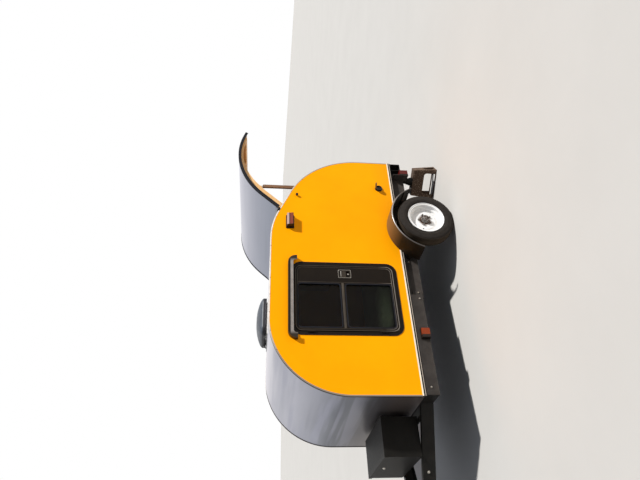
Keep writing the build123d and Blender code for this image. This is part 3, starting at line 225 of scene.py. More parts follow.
# %% Laying a colour over a finish
def lay_over(material, code, *masks, roughness=None):
    """Lays another colour, and gloss if given, over a finish where all its masks are 1."""
    mask = where(material, *masks)
    shader = material.node_tree.nodes["shader"]
    under = shader.inputs["Base Color"].links[0].from_socket
    mixed = add(material, "Mix", {"data_type": "RGBA", 7: linear(code)}, {0: mask, 6: under})
    material.node_tree.links.new(mixed.outputs[2], shader.inputs["Base Color"])
    if roughness is not None:
        under = shader.inputs["Roughness"].links[0].from_socket
        mixed = add(material, "Mix", {3: roughness}, {0: mask, 2: under})
        material.node_tree.links.new(mixed.outputs[0], shader.inputs["Roughness"])


def dressed(material, *names):
    """Gives CAD nodes their finish."""
    for name in names:
        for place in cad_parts[name].material_slots:
            place.material = material
    print(material.name, "on", ", ".join(names))


# %% [markdown]
# The side walls are rolled with a golden yellow enamel. Enamel is a hard, fairly glossy coat over
# a smooth board: the colour is even, the sheen soft, and a roller leaves the faintest orange peel.
# An image of paint would tile and repeat, so noise of the roller's own size is used. The peel of
# 4 mm is drawn at 9 mm, as it is too fine for the picture. The sheen is kept low: a strong one
# would lay the white surroundings over the yellow and wash it out.

# %% Golden yellow enamel, rolled
low_sheen = {"Specular IOR Level": 0.12}
lowest_sheen = {"Specular IOR Level": 0.05}
wall_enamel = surface("golden_enamel_rolled", "#FF9F00", "#FCA500", 500, 0.4, 9, 0.03,
                      **lowest_sheen)
lay_over(wall_enamel, "#D78F10", ("Z", 0.66, 0.49), patches_of(wall_enamel), ("X", 0.9, -1.6),
         roughness=0.6)
dressed(wall_enamel, "side_walls")

# %% [markdown]
# The roof and the hatch are plain aluminium sheet as it leaves the mill. Rolling leaves lines along
# the sheet and the surface has oxidised to a soft grey, so it mirrors its surroundings only in
# broad bands: pale sky above, a dark tree line halfway down the front, warm ground at its foot.
# The studio has no trees, so those bands are painted into the metal by height, in soft steps, as
# painted reflections. A wide noise lays pale streaks on the front: the painted reflection of the
# shallow waves of thin sheet that is bent over a wooden frame.


# %% Aluminium sheet, mill finish
def sheet_metal(name, shade, other_shade):
    """Mill aluminium with rolling streaks across the trailer."""
    material = surface(name, shade, other_shade, 900, 0.34, 300, 0.5, stretch=(1.0, 0.3, 1.0),
                       Metallic=1.0)
    streaks = flecks(material, 60, 4.0, 0.5, 0.8, most=0.35, stretch=(1.0, 0.05, 1.0))
    lay_over(material, "#83868F", streaks, roughness=0.4)
    return material


hatch_sheet = sheet_metal("aluminium_sheet_hatch", "#8E929E", "#9296A2")
# lighter towards the rear: a painted reflection of the pale sky
lay_over(hatch_sheet, "#C6C5D0", ("X", -1.0, -1.55))
dressed(hatch_sheet, "hatch_skin", "rear_panel")

# %% Bands on the roof's sheet
roof_sheet = sheet_metal("aluminium_sheet_roof", "#A3A3AE", "#A9A9B3")
lay_over(roof_sheet, "#D0CDD3", ("Z", 1.55, 1.652))
front_of = ("X", 0.25, 0.50)
lay_over(roof_sheet, "#5C606B", front_of, ("Z", 1.42, 1.08))
lay_over(roof_sheet, "#665C58", front_of, ("Z", 1.00, 0.66))
# pale streaks on the front: painted reflection of the sheet's shallow waves
pale_band = flecks(roof_sheet, 120, 2.0, 0.50, 0.62, most=0.55, stretch=(0.2, 0.08, 1.6))
lay_over(roof_sheet, "#8F90A0", front_of, pale_band, ("Z", 0.75, 1.0))
# less of a mirror at the foot of the front, so that the painted reflection of the warm ground
# shows there
dull = add(roof_sheet, "MapRange", {"To Min": 1.0, "To Max": 0.45},
           {"Value": where(roof_sheet, front_of, ("Z", 1.05, 0.70))})
roof_sheet.node_tree.links.new(dull.outputs["Result"],
                               roof_sheet.node_tree.nodes["shader"].inputs["Metallic"])
dressed(roof_sheet, "roof_skin")

# %% [markdown]
# Bright strips finish every edge. The drawn aluminium trim shows a pale face on the wall, duller
# down the front and rear, where the flange that laps over the sheet carries a nearly black painted
# shadow line. Along the walls' foot runs a pale strip, below it a dark line where the strips meet,
# and a silver strip. Trim and strips are single extrusions, so their colours are masked by place,
# not cut into pieces.

# %% Drawn aluminium trim
drawn_trim = surface("aluminium_trim_drawn", "#F1E9DC", "#DDD5C9", 60, 0.4, 8, 0.03, Metallic=0.1,
                     **low_sheen)
lay_over(drawn_trim, "#8A8073", ("X", 0.20, 0.55))
lay_over(drawn_trim, "#B4ADA1", ("X", -1.0, -1.35))
# the flange over the sheet, below the roof's top, is painted nearly black: a painted shadow line
lay_over(drawn_trim, "#2B241F", ("side", 0.6707, 0.6703), ("Z", 1.652, 1.642))
dressed(drawn_trim, "edge_trims")
sill_strip = surface("painted_strip_extruded", "#F3E6D0", "#E2D6C2", 50, 0.45, 6, 0.05, **low_sheen)
# a dark line along the foot of the pale strip, where it meets the silver one
lay_over(sill_strip, "#17110D", ("Z", 0.4800, 0.4792), roughness=0.6)
lay_over(sill_strip, "#A79B8E", ("Z", 0.4685, 0.4680), roughness=0.35)
dressed(sill_strip, "sill_trims")

# %% [markdown]
# The frame under the body is folded steel with brushed black paint. Road dust greys it, thickest
# where the tyres throw it, and it dries in soft clouds, so two noises of different size are mixed
# over a black that is never fully black. The tongue, the cross members and the coupler get a darker
# black: painted shade, as they lie in shade under and ahead of the body.

# %% Black chassis paint, brushed
chassis_paint = surface("black_paint_brushed_dusty", "#2E2A28", "#393532", 70, 0.5, 5, 0.12,
                        **low_sheen)
lay_over(chassis_paint, "#4A443E", ("Z", 0.47, 0.30), patches_of(chassis_paint), roughness=0.7)
dressed(chassis_paint, "front_rails", "rear_rails", "spring_hangers", "tail_lamp_plates")
# a darker black for the tongue, cross members and coupler: painted shade, as they lie in shade
tongue_paint_shaded = surface("black_paint_brushed", "#171614", "#201E1B", 80, 0.45, 5, 0.12, **low_sheen)
dressed(tongue_paint_shaded, "tongue_frame", "cross_members", "coupler")
deck_coating = surface("black_deck_coating_rolled", "#151413", "#1C1B1A", 120, 0.7, 4, 0.3,
                       **low_sheen)
dressed(deck_coating, "floor_deck")
running_gear = surface("black_paint_dusty_forged_steel", "#2B2825", "#3A342E", 30, 0.75, 4, 0.3,
                       **low_sheen)
dressed(running_gear, "axle", "leaf_springs")

# %% [markdown]
# Plywood inside is birch under clear varnish. The face veneer is peeled from the log, which draws
# its grain as long wandering flames, while the edges show the plies. A wave texture bent by noise
# gives the flames, with the grain running along the trailer.


# %% Birch plywood, varnished
waves_per_unit = 6  # a wave texture draws about six waves where a noise draws one patch


def wood(name, shade, vein, patch_mm, vein_mm, stretch):
    """A planed wooden surface with veins along the way it is stretched."""
    material = surface(name, shade, vein, patch_mm, 0.45, 3, 0.15, stretch=stretch)
    laid = material.node_tree.nodes["patches"].inputs["Vector"].links[0].from_socket
    veins = add(material, "TexWave", {"Scale": per_metre(vein_mm) / waves_per_unit, "Detail": 3.0,
                                      "Distortion": 9.0, "Detail Scale": 1.4}, {"Vector": laid})
    faint = add(material, "MapRange", {"From Min": 0.45, "From Max": 1.0, "To Max": 0.55},
                {"Value": veins.outputs["Fac"]})
    lay_over(material, vein, faint.outputs["Result"])
    return material


birch = wood("birch_plywood_varnished", "#D9B887", "#B98F5C", 180, 14, (0.15, 1.0, 1.0))
dressed(birch, "roof_board", "bulkheads", "galley_cabinet", "hatch_board")
pale_wood = wood("pine_batten_planed", "#F0C48C", "#D9A96C", 90, 9, (0.12, 1.0, 0.4))
dressed(pale_wood, "hatch_frame", "hatch_spars")
prop_wood = wood("hardwood_prop_oiled", "#7E5736", "#603D22", 70, 7, (1.0, 1.0, 0.12))
dressed(prop_wood, "prop_left", "prop_right")

# %% [markdown]
# Fittings come in their makers' finishes: extruded satin aluminium for the hinge, zinc plate for
# the prop's steel, black anodised aluminium for the doors, and moulded plastic or rubber for the
# rest. Plated steel scatters light in small flecks, anodised aluminium is silky, and moulded
# plastic has the mould's fine texture.

# %% Metal fittings
hinge_metal = surface("aluminium_extruded_satin", "#9A9CA2", "#86888E", 90, 0.36, 6, 0.03,
                      Metallic=1.0)
dressed(hinge_metal, "hatch_hinge_rod", "hatch_hinge_barrel")
zinc = surface("steel_zinc_plated", "#A9AAA8", "#8B8C8A", 12, 0.38, 3, 0.03, Metallic=1.0)
dressed(zinc, "prop_ears", "prop_catches", "jack_tube", "jack_leg")
door_black = surface("aluminium_anodised_black", "#130D08", "#19120B", 160, 0.35, 5, 0.03,
                     **low_sheen)
dressed(door_black, "door_frames", "door_leaf_left", "door_leaf_right")
latch_metal = surface("zinc_die_cast_blackened", "#2E2822", "#3B342C", 30, 0.3, 4, 0.02,
                      **low_sheen)
dressed(latch_metal, "door_latch_left", "door_latch_right")
bright_metal = surface("steel_chromed_polished", "#B9B4AC", "#9D978E", 30, 0.2, 4, 0.02,
                       Metallic=1.0)
bronze_bead = surface("aluminium_bead_bronze_anodised", "#4A4136", "#3C342B", 60, 0.35, 5, 0.03,
                      Metallic=0.4)
lay_over(bronze_bead, "#9A9086", ("Z", 0.72, 0.60))
inlet_metal = surface("steel_chromed_weathered", "#4A4643", "#2B2826", 20, 0.3, 4, 0.03,
                      Metallic=0.6)
dressed(inlet_metal, "power_inlet")

# %% [markdown]
# The drip cap over each door is painted sheet: its top is black and its lip shows bare silver,
# darker again at the turned-down ends. One finish with masks by place follows that, so the pieces
# need no cutting.

# %% Drip cap
drip_low, drip_high = (Vector(c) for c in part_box("drip_caps"))
drip_silver = surface("sheet_painted_silver", "#9A928B", "#857E79", 60, 0.3, 5, 0.03, Metallic=0.6)
lay_over(drip_silver, "#15110C", ("Z", drip_high.z - 0.022, drip_high.z - 0.018), roughness=0.4)
for end, inward in ((drip_low.x, 1), (drip_high.x, -1)):
    lay_over(drip_silver, "#2E251B", ("X", end + 0.060 * inward, end + 0.03 * inward),
             roughness=0.4)
dressed(drip_silver, "drip_caps")

# %% [markdown]
# Rubber and plastic share a soft black, but rubber is duller and greyer with age. The hatch's
# edging is extruded rubber, the lamps' bodies are moulded, and the vent's curb is off-white.

# %% Rubber and plastic
old_rubber = surface("rubber_extruded_black", "#17171B", "#1F1F24", 25, 0.6, 3, 0.1, **low_sheen)
dressed(old_rubber, "hatch_edging", "hatch_knobs")
lamp_plastic = surface("abs_moulded_black", "#15110D", "#1C1712", 25, 0.42, 2, 0.06, **low_sheen)
dressed(lamp_plastic, "lamp_housings")
vent_plastic = surface("abs_moulded_white", "#DAD9D3", "#C9C6BC", 60, 0.5, 3, 0.08)
dressed(vent_plastic, "vent_base")
box_coat = surface("powder_coat_black_textured", "#100F0C", "#171512", 90, 0.55, 4, 0.35,
                   **low_sheen)
dressed(box_coat, "tongue_box", "tongue_box_lid")

# %% [markdown]
# Clear parts: door panes in lightly tinted glass, the vent's smoked acrylic dome and the lamps'
# lenses. Only the panes let light through; their transmission does the work, and a dark body colour
# tints what is behind. The dome and the lenses are opaque, with colour and sheen only.

# %% Glass, acrylic and lenses
door_glass = surface("float_glass_tinted", "#8A8D84", "#84877E", 300, 0.03, 60, 0.02,
                     **{"Transmission Weight": 1.0, "IOR": 1.2})
dressed(door_glass, "door_glass_left", "door_glass_right")
some_sheen = {"Specular IOR Level": 0.3}
smoked_dome = surface("acrylic_smoked_weathered", "#3C4148", "#4A5058", 120, 0.4, 30, 0.1,
                      **some_sheen)
lay_over(smoked_dome, "#17161A", ("Z", 1.704, 1.700), roughness=0.5)
lens_plastic = surface("acrylic_lens_amber_and_red", "#8E3509", "#7A2C08", 40, 0.3, 4, 0.05,
                       **some_sheen)
lay_over(lens_plastic, "#541310", ("X", -1.40, -1.41))
high_up = ("Z", 1.2, 1.3)
lay_over(lens_plastic, "#7B3420", high_up)
# the side lamps' top edge is painted pale pink-grey: a painted highlight where the sun falls
lay_over(lens_plastic, "#B8998F", ("Z", 1.4885, 1.4895), roughness=0.35)
# the side lamps' front end is painted dark brown: painted shade
lay_over(lens_plastic, "#2A1A10", high_up, ("X", -0.7095, -0.7085))
# the markers' front end is painted dark: the housing's side, with a painted shadow over it
lay_over(lens_plastic, "#1A120C", ("X", 0.3590, 0.3600), ("Z", 1.3, 1.2), roughness=0.5)
dressed(lens_plastic, "lamp_lenses")

# %% [markdown]
# Wheels: rims in glossy white enamel over a pressed steel disc, with the hub left brown by rust
# and grease. The distance from the axle decides where the white ends. The hub's own place is taken
# from the frame, and a Mapping node moves the pattern's centre to it.

# %% White wheel enamel with a brown hub
wheel_low, wheel_high = (Vector(c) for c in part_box("tyre_left"))
wheel_middle = (wheel_low + wheel_high) / 2
tyre_radius = (wheel_high.z - wheel_low.z) / 2
tyre_width = wheel_high.y - wheel_low.y
rim_enamel = surface("white_enamel_on_pressed_steel", "#F1F0EE", "#E8E6E2", 80, 0.25, 5, 0.04,
                     **{"Coat Weight": 0.3, "Coat Roughness": 0.1})
around_hub = add(rim_enamel, "Mapping", {
    "Location": (-wheel_middle.x, 0, -wheel_middle.z), "Scale": (1, 0, 1)},
    {"Vector": at_place(rim_enamel)})
spread_out = add(rim_enamel, "VectorMath", {"operation": "LENGTH"},
                 {0: around_hub.outputs["Vector"]}).outputs["Value"]
brown_hub, bright_cap = (0.065, 0.045, "#553A25", 0.65), (0.0255, 0.0245, "#A29A90", 0.3)
for far, near, code, roughness in (brown_hub, bright_cap):
    inside = add(rim_enamel, "MapRange", {"From Min": far, "From Max": near},
                 {"Value": spread_out}).outputs["Result"]
    lay_over(rim_enamel, code, inside, roughness=roughness)
dressed(rim_enamel, "rim_left", "rim_right")
print("tyre radius", round(tyre_radius, 4), "width", round(tyre_width, 4))

# %% [markdown]
# The fenders are rolled sheet in a brown-black satin, painted a lighter brown on top as a painted
# highlight with the yellow wall's painted reflection in it. The outer lip is a grey bead, painted
# brighter towards its top as a painted highlight. The stands are rusty pressed sheet with a black
# post. Rust comes in two sizes, broad brown clouds from the base and pale specks laid over them.

# %% Fender satin and rusty steel
fender_satin = surface("satin_paint_on_rolled_sheet", "#1E1810", "#292118", 110, 0.42, 6, 0.12,
                       **low_sheen)
# the top is painted a lighter brown: a painted highlight with the yellow wall's painted reflection
lay_over(fender_satin, "#7C5A33", ("Z", 0.50, 0.585), roughness=0.4)
dressed(fender_satin, "fenders")
lip_paint = surface("satin_paint_painted_highlight", "#4A4643", "#57524E", 90, 0.38, 5, 0.05,
                    Metallic=0.3)
# the lip is painted brighter towards its top: a painted highlight
lay_over(lip_paint, "#A9A6A3", ("Z", 0.47, 0.58), roughness=0.25)
rusty_steel = surface("pressed_steel_rusted", "#4A3B30", "#5D4A3C", 22, 0.8, 3, 0.4, **low_sheen)
lay_over(rusty_steel, "#9A8571", flecks(rusty_steel, 9, 6.0, 0.55, 0.68), roughness=0.7)
lay_over(rusty_steel, "#171512", ("Z", 0.2285, 0.2305), roughness=0.5)
dressed(rusty_steel, "axle_stands")

# %% [markdown]
# Woven cloth covers the bedding. The threads are far finer than the picture can show, so the weave
# of the mattress cover is drawn at 5 mm and the quilt's at 4 mm. Two crossed wave textures make
# the over and under of the threads, and a sheen lights the fuzz at the edges. The mattress cover is
# painted dark as painted shade of the closed cabin, and the quilt is painted dark on the far side,
# away from the door, as painted shadow.


# %% Cotton cloth, woven
def cloth(name, shade, other_shade, thread_mm):
    """A woven cotton finish with crossed threads in its bump."""
    material = surface(name, shade, other_shade, 140, 0.85, 2, 0.1,
                       **{"Sheen Weight": 0.4, "Sheen Roughness": 0.5})
    warp, weft = (add(material, "TexWave", {"Scale": per_metre(thread_mm) / waves_per_unit,
                                            "bands_direction": way},
                      {"Vector": at_place(material)}) for way in "XY")
    crossed = add(material, "Math", {"operation": "ADD"},
                  {0: warp.outputs["Fac"], 1: weft.outputs["Fac"]})
    woven = add(material, "Bump", {"Strength": 0.5, "Distance": 0.0006},
                {"Height": crossed.outputs[0],
                 "Normal": material.node_tree.nodes["bump"].outputs["Normal"]})
    material.node_tree.links.new(woven.outputs["Normal"],
                                 material.node_tree.nodes["shader"].inputs["Normal"])
    return material


# the mattress cover is painted dark: painted shade of the closed cabin
mattress_cover = cloth("cotton_cover_woven", "#45443A", "#3A392F", 5)
quilt_cover = cloth("cotton_quilt_woven", "#8D9984", "#7B8772", 4)
dressed(mattress_cover, "mattress")
# the quilt's far side, away from the door, is painted dark: painted shadow
lay_over(quilt_cover, "#24261D", ("Y", 0.50, 0.36))
dressed(quilt_cover, "quilt")

# %% [markdown]
# Tyre rubber is black with a lighter bloom on the sidewall, where dust and age grey it. The tread
# is painted a lighter brown as painted light. Both follow the distance from the tyre's middle
# plane.

# %% Tyre rubber, moulded
tyre_rubber = surface("rubber_moulded_dusty_painted_light", "#1D1A17", "#262220", 30, 0.8, 3, 0.15, **low_sheen)
sidewall = ("side", wheel_middle.y + tyre_width * 0.36, wheel_middle.y + tyre_width * 0.46)
tread = ("side", wheel_middle.y + 0.052, wheel_middle.y + 0.040)
lay_over(tyre_rubber, "#332E29", sidewall, patches_of(tyre_rubber), roughness=0.85)
# the tread is painted a lighter brown: painted light on the shoulders
lay_over(tyre_rubber, "#453B30", tread, roughness=0.9)
dressed(tyre_rubber, "tyre_left", "tyre_right")

# %% [markdown]
# New pieces are made in a bmesh, a mesh that lives only while it is being shaped. One helper ends
# the work on each piece: faces are turned outwards, the mesh becomes an object at the origin, and
# the piece is told which body it moves with and given its finish.


# %% Keeping a finished piece
def kept(shape, name, body, material, smooth=True):
    """Turns a bmesh into a piece that rides on a body."""
    bmesh.ops.remove_doubles(shape, verts=shape.verts[:], dist=1e-6)
    bmesh.ops.recalc_face_normals(shape, faces=shape.faces[:])
    for face in shape.faces:
        face.smooth = smooth
    mesh = bpy.data.meshes.new(name)
    shape.to_mesh(mesh)
    shape.free()
    mesh.materials.append(material)
    if smooth:
        mesh.set_sharp_from_angle(angle=radians(35))
    piece = bpy.data.objects.new(name, mesh)
    bpy.context.collection.objects.link(piece)
    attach(piece, body)
    print(name, len(mesh.polygons), "faces")
    return piece


def new_verts(result):
    """The vertices among what an operator made."""
    return [g for g in result["geom"] if isinstance(g, bmesh.types.BMVert)]


def mirrored(shape):
    """Adds the twin of a shape on the trailer's right side."""
    twin = bmesh.ops.duplicate(shape, geom=shape.verts[:] + shape.edges[:] + shape.faces[:])
    bmesh.ops.scale(shape, vec=(1, -1, 1), verts=new_verts(twin))


# %% [markdown]
# The tyre is a trailer tyre of the ribbed kind. Its body is a profile spun round the axle. The
# tread could be cut into it, but raised blocks are simpler to repeat: one block is a short spin of
# a small section, and copies of it are turned round the wheel. A road tyre has a plain centre rib
# and blocks towards its shoulders with slots between them.

# %% Tyre profile
groove_depth = 0.006
tread_floor = tyre_radius - groove_depth
half_width = tyre_width / 2
seat_radius = 0.170
tyre_profile = [(r, half_width * share) for r, share in (
    (seat_radius, 0.78), (0.176, 0.89), (0.190, 0.965), (0.197, 0.965), (0.199, 0.99),
    (0.203, 0.99), (0.205, 0.975), (0.222, 0.97), (0.236, 0.91), (0.2445, 0.83),
    (tread_floor - 0.003, 0.74), (tread_floor, 0.0))]
print("sidewall height", round(tyre_radius - seat_radius, 4))


# %% Turning and spinning
def rotated(shape, verts, angle, axis="Y"):
    """Turns vertices about an axis through the origin."""
    bmesh.ops.rotate(shape, verts=verts, cent=(0, 0, 0), matrix=Matrix.Rotation(angle, 3, axis))


def spun(shape, geom, steps, angle=2 * pi):
    """Sweeps a section about Y, and joins its ends after a full turn."""
    bmesh.ops.spin(shape, geom=geom, cent=(0, 0, 0), axis=(0, 1, 0), angle=angle, steps=steps,
                   use_merge=angle == 2 * pi)


def chain(shape, points, closed=True):
    """Vertices at points of radius and Y, and the edges that join them in a row or a loop."""
    made = [shape.verts.new((r, y, 0)) for r, y in points]
    following = made[1:] + made[:1] if closed else made[1:]
    return made, [shape.edges.new(pair) for pair in zip(made, following)]


def spun_ring(shape, points, steps):
    """A closed section spun all the way round."""
    verts, edges = chain(shape, points)
    spun(shape, verts + edges, steps)


# %% Tyre with its blocks
block_count = 92
ring_steps = 120


def tyre_shape():
    """The tyre with its rib and blocks, about the origin."""
    shape = bmesh.new()
    outer = tyre_profile + [(r, -y) for r, y in reversed(tyre_profile[:-1])]
    inner = [(0.166, -half_width * 0.70), (0.166, half_width * 0.70)]
    spun_ring(shape, outer + inner, ring_steps)
    rib_half = half_width * 0.17
    spun_ring(shape, [(tread_floor - 0.002, -rib_half), (tyre_radius, -rib_half),
                      (tyre_radius, rib_half), (tread_floor - 0.002, rib_half)], ring_steps)
    block = bmesh.new()
    pitch = 2 * pi / block_count
    # each row: its inner and outer edge, how far it falls away, its length, its shift round
    rows = [(0.23, 0.47, 0.0, 0.78, 0.0), (0.54, 0.80, 0.0035, 0.72, 0.5)]
    for inner_share, outer_share, fall, length_share, shift in rows:
        for side in (-1, 1):
            near, wide = side * half_width * inner_share, side * half_width * outer_share
            corners = [(tread_floor - 0.004, near), (tyre_radius - 0.0006, near),
                       (tyre_radius - 0.0008 - fall, wide),
                       (tread_floor - 0.006 - fall, wide * 1.03)]
            verts, _ = chain(block, corners)
            face = block.faces.new(verts)
            rotated(block, verts, pitch * (shift + 0.25 * side))
            spun(block, [face], 2, pitch * length_share)
            bmesh.ops.recalc_face_normals(block, faces=block.faces[:])
    block_mesh = bpy.data.meshes.new("tread_block")
    block.to_mesh(block_mesh)
    block.free()
    for turn in range(block_count):
        before = len(shape.verts)
        shape.from_mesh(block_mesh)
        shape.verts.ensure_lookup_table()
        rotated(shape, shape.verts[before:], pitch * turn)
    return shape


sides = (("left", 1), ("right", -1))
for side_name, sign in sides:
    shape = tyre_shape()
    shape.transform(Matrix.Translation((wheel_middle.x, wheel_middle.y * sign, wheel_middle.z)))
    tyre = kept(shape, "tyre_tread_" + side_name, "wheel_" + side_name, tyre_rubber)
    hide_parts("tyre_" + side_name)

# %% [markdown]
# Small fittings recur all over the trailer: bolts, screw heads, rounded bars and rounded rings.
# Each is one operator shape with its edges bevelled, set on its place by a matrix. Where a fitting
# must sit on a curved or hidden surface, a straight line is shot at the solid and the hit gives
# the spot.


# %% Small shapes
def set_towards(place, towards):
    """A matrix that stands a shape on a place, with its Z along a direction."""
    turn = Vector(towards).to_track_quat("Z", "Y").to_matrix().to_4x4()
    return Matrix.Translation(place) @ turn


def add_disc(shape, place, towards, radius, height, top_radius=None, sides=20):
    """A round head, or with six sides a hexagon one, that stands on a place."""
    spot = set_towards(place, towards) @ Matrix.Translation((0, 0, height / 2))
    top_radius = radius if top_radius is None else top_radius
    return bmesh.ops.create_cone(shape, cap_ends=True, segments=sides, radius1=radius,
                                 radius2=top_radius, depth=height, matrix=spot)["verts"]


def bevelled(shape, geom, offset, segments, affect="EDGES"):
    """Rounds off edges or corners."""
    bmesh.ops.bevel(shape, geom=geom, offset=offset, segments=segments, profile=0.5,
                    affect=affect, material=-1)


def add_bolt(shape, place, towards, across):
    """A hexagon bolt head on its washer, its upper corners chamfered."""
    step = Vector(towards).normalized()
    add_disc(shape, place, towards, across * 0.66, across * 0.1)
    head = set(add_disc(shape, Vector(place) + step * across * 0.1, towards, across * 0.577,
                        across * 0.5, sides=6))
    top = max(step.dot(v.co) for v in head)
    rim = [e for e in shape.edges if set(e.verts) <= head
           and all(top - step.dot(v.co) < 1e-5 for v in e.verts)]
    bevelled(shape, rim, across * 0.08, 1)


def add_dome(shape, place, towards, radius, height):
    """A round screw head: a flattened ball, half sunk in what it sits on."""
    spot = set_towards(place, towards) @ Matrix.Diagonal((radius, radius, height, 1))
    bmesh.ops.create_uvsphere(shape, u_segments=12, v_segments=8, radius=1.0, matrix=spot)


# %% Bars and rings
def add_bar(shape, corner, other, round_off, segments=2):
    """A bar between two opposite corners, with all its edges rounded."""
    corner, other = Vector(corner), Vector(other)
    size = Matrix.Diagonal((*[abs(s) for s in other - corner], 1))
    spot = Matrix.Translation((corner + other) / 2) @ size
    made = set(bmesh.ops.create_cube(shape, size=1.0, matrix=spot)["verts"])
    bevelled(shape, [e for e in shape.edges if set(e.verts) <= made], round_off, segments)


def add_ring(shape, x_range, z_range, corner, width, y_range):
    """A rounded rectangular ring that stands on a wall: outlined, inset and pushed out."""
    before = set(shape.faces)
    middle = Vector((sum(x_range) / 2, y_range[0], sum(z_range) / 2))
    half = Matrix.Diagonal(((x_range[1] - x_range[0]) / 2, (z_range[1] - z_range[0]) / 2, 1, 1))
    upright = Matrix.Translation(middle) @ Matrix.Rotation(radians(90), 4, "X")
    made = bmesh.ops.create_grid(shape, x_segments=1, y_segments=1, size=1.0,
                                 matrix=upright @ half)
    bevelled(shape, made["verts"], corner, 8, "VERTICES")
    face = [f for f in shape.faces if f not in before]
    strip = bmesh.ops.inset_region(shape, faces=face, thickness=width, use_boundary=True,
                                   use_even_offset=True)
    bmesh.ops.delete(shape, geom=face, context="FACES")
    grown = bmesh.ops.extrude_face_region(shape, geom=strip["faces"])
    bmesh.ops.translate(shape, vec=(0, y_range[1] - y_range[0], 0), verts=new_verts(grown))


# %% Where a line meets a solid
def touch(name, start, towards):
    """Where a straight line first meets a CAD node, and the way that surface faces."""
    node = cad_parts[name]
    back = node.matrix_world.inverted()
    hit, place, normal, _ = node.ray_cast(back @ Vector(start), back.to_3x3() @ Vector(towards))
    assert hit, name
    return node.matrix_world @ place, node.matrix_world.to_3x3() @ normal


print("rail face at", [round(c, 4) for c in touch("front_rails", (0.5, 1.2, 0.41), (0, -1, 0))[0]])

# %% [markdown]
# The wheel's middle: a pressed dust cap over the bearing, five lug nuts on the usual 114 mm bolt
# circle and a rubber tyre valve. The cap could be modelled as a cylinder, but a real one is drawn
# from sheet and has a bead, a straight wall and a crowned end, so its profile is spun. It is
# zinc-plated steel with brown grease and rust that runs down from the bead.

# %% Hub cap, nuts and valve
cap_steel = surface("steel_zinc_plated_greasy", "#8E8A86", "#77706A", 25, 0.35, 4, 0.05,
                    Metallic=0.8)
lay_over(cap_steel, "#3C2717", flecks(cap_steel, 28, 4.0, 0.53, 0.60), roughness=0.6)
cap_profile = [(0.0, 0.006), (0.036, 0.006), (0.036, 0.013), (0.031, 0.015), (0.029, 0.040),
               (0.0265, 0.047), (0.018, 0.0515), (0.0, 0.053)]
nut_circle, valve_ring = 0.057, 0.128
outwards, lean = Vector((0, 1, 0)), Vector((-0.25, 1, -0.08))
for side_name, sign in sides:
    shape = bmesh.new()
    verts, edges = chain(shape, cap_profile, closed=False)
    spun(shape, verts + edges, 36)
    for turn in range(5):
        angle = radians(72 * turn + 20)
        spot = Vector((nut_circle * cos(angle), 0.004, nut_circle * sin(angle)))
        # the nut's seat, the nut and the stud's end
        for up, *form in ((0, 0.0115, 0.004, 0.010, 20), (0.003, 0.0095, 0.013, 0.008, 6),
                          (0.014, 0.005, 0.006, 0.004, 12)):
            add_disc(shape, spot + outwards * up, outwards, *form)
    shape.transform(Matrix.Diagonal((1, sign, 1, 1)) @ Matrix.Translation(wheel_middle))
    kept(shape, "hub_cap_and_nuts_" + side_name, "wheel_" + side_name, cap_steel)
    shape = bmesh.new()
    angle = radians(17)
    spot = wheel_middle + Vector((valve_ring * cos(angle), -0.004, valve_ring * sin(angle)))
    for up, *form in ((0, 0.009, 0.006, 0.007), (0.005, 0.006, 0.020, 0.004),
                      (0.024, 0.0045, 0.010, 0.004)):
        add_disc(shape, spot + lean.normalized() * up, lean, *form)
    shape.transform(Matrix.Diagonal((1, sign, 1, 1)))
    kept(shape, "tyre_valve_" + side_name, "wheel_" + side_name, old_rubber)

# %% [markdown]
# The fender is a band of sheet rolled round the wheel, with its outer edge turned down and curled
# into a bright lip. Its section is drawn once and swept round the wheel, as the roller does. Seen
# from the camera it reaches less far out than the plain solid, so the swept sheet replaces it. A
# back plate closes it against the wall, which is why nothing pale shows over the tyre, and two
# flat stays carry it from the rail.


# %% Fenders
def add_arc(shape, points, start, turn, steps):
    """A closed section of radius and width, swept about Y from an angle ahead of the top."""
    verts, _ = chain(shape, points)
    face = shape.faces.new(verts)
    rotated(shape, verts, radians(start - 90))
    spun(shape, [face], steps, radians(turn))


def under_top(*points):
    """Section points given by their depth under the fender's top and their Y."""
    return [(fender_top - down, y) for down, y in points]


fender_centre = Vector((wheel_middle.x, 0, wheel_middle.z - 0.044))
fender_top, fender_in, fender_out = 0.368, 0.675, 0.870
back_deep, lip_radius = 0.083, 0.0055
fender_sweep = (72, -139, 60)
sheet_section = under_top((0.002, fender_in), (0, fender_in), (0, fender_out - 0.006),
                          (0.002, fender_out - 0.002), (0.006, fender_out), (0.017, fender_out),
                          (0.017, fender_out - 0.002), (0.006, fender_out - 0.002),
                          (0.002, fender_out - 0.006))
back_section = under_top((back_deep, fender_in), (0.001, fender_in), (0.001, fender_in + 0.002),
                         (back_deep, fender_in + 0.002))
bead_section = under_top(*[(0.009 - lip_radius * cos(2 * pi * i / 12),
                            fender_out + lip_radius * sin(2 * pi * i / 12)) for i in range(12)])
stay_section = under_top((0.009, 0.62), (0.003, 0.62), (0.003, fender_out - 0.01),
                         (0.009, fender_out - 0.01))
shape = bmesh.new()
for section in (sheet_section, back_section):
    add_arc(shape, section, *fender_sweep)
for stay_angle in (60, -55):
    add_arc(shape, stay_section, stay_angle, -6, 3)
shape.transform(Matrix.Translation(fender_centre))
mirrored(shape)
fender_sheets = kept(shape, "fender_sheets", "trailer", fender_satin)
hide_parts("fenders")
shape = bmesh.new()
add_arc(shape, bead_section, *fender_sweep)
shape.transform(Matrix.Translation(fender_centre))
mirrored(shape)
kept(shape, "fender_lips", "trailer", lip_paint)

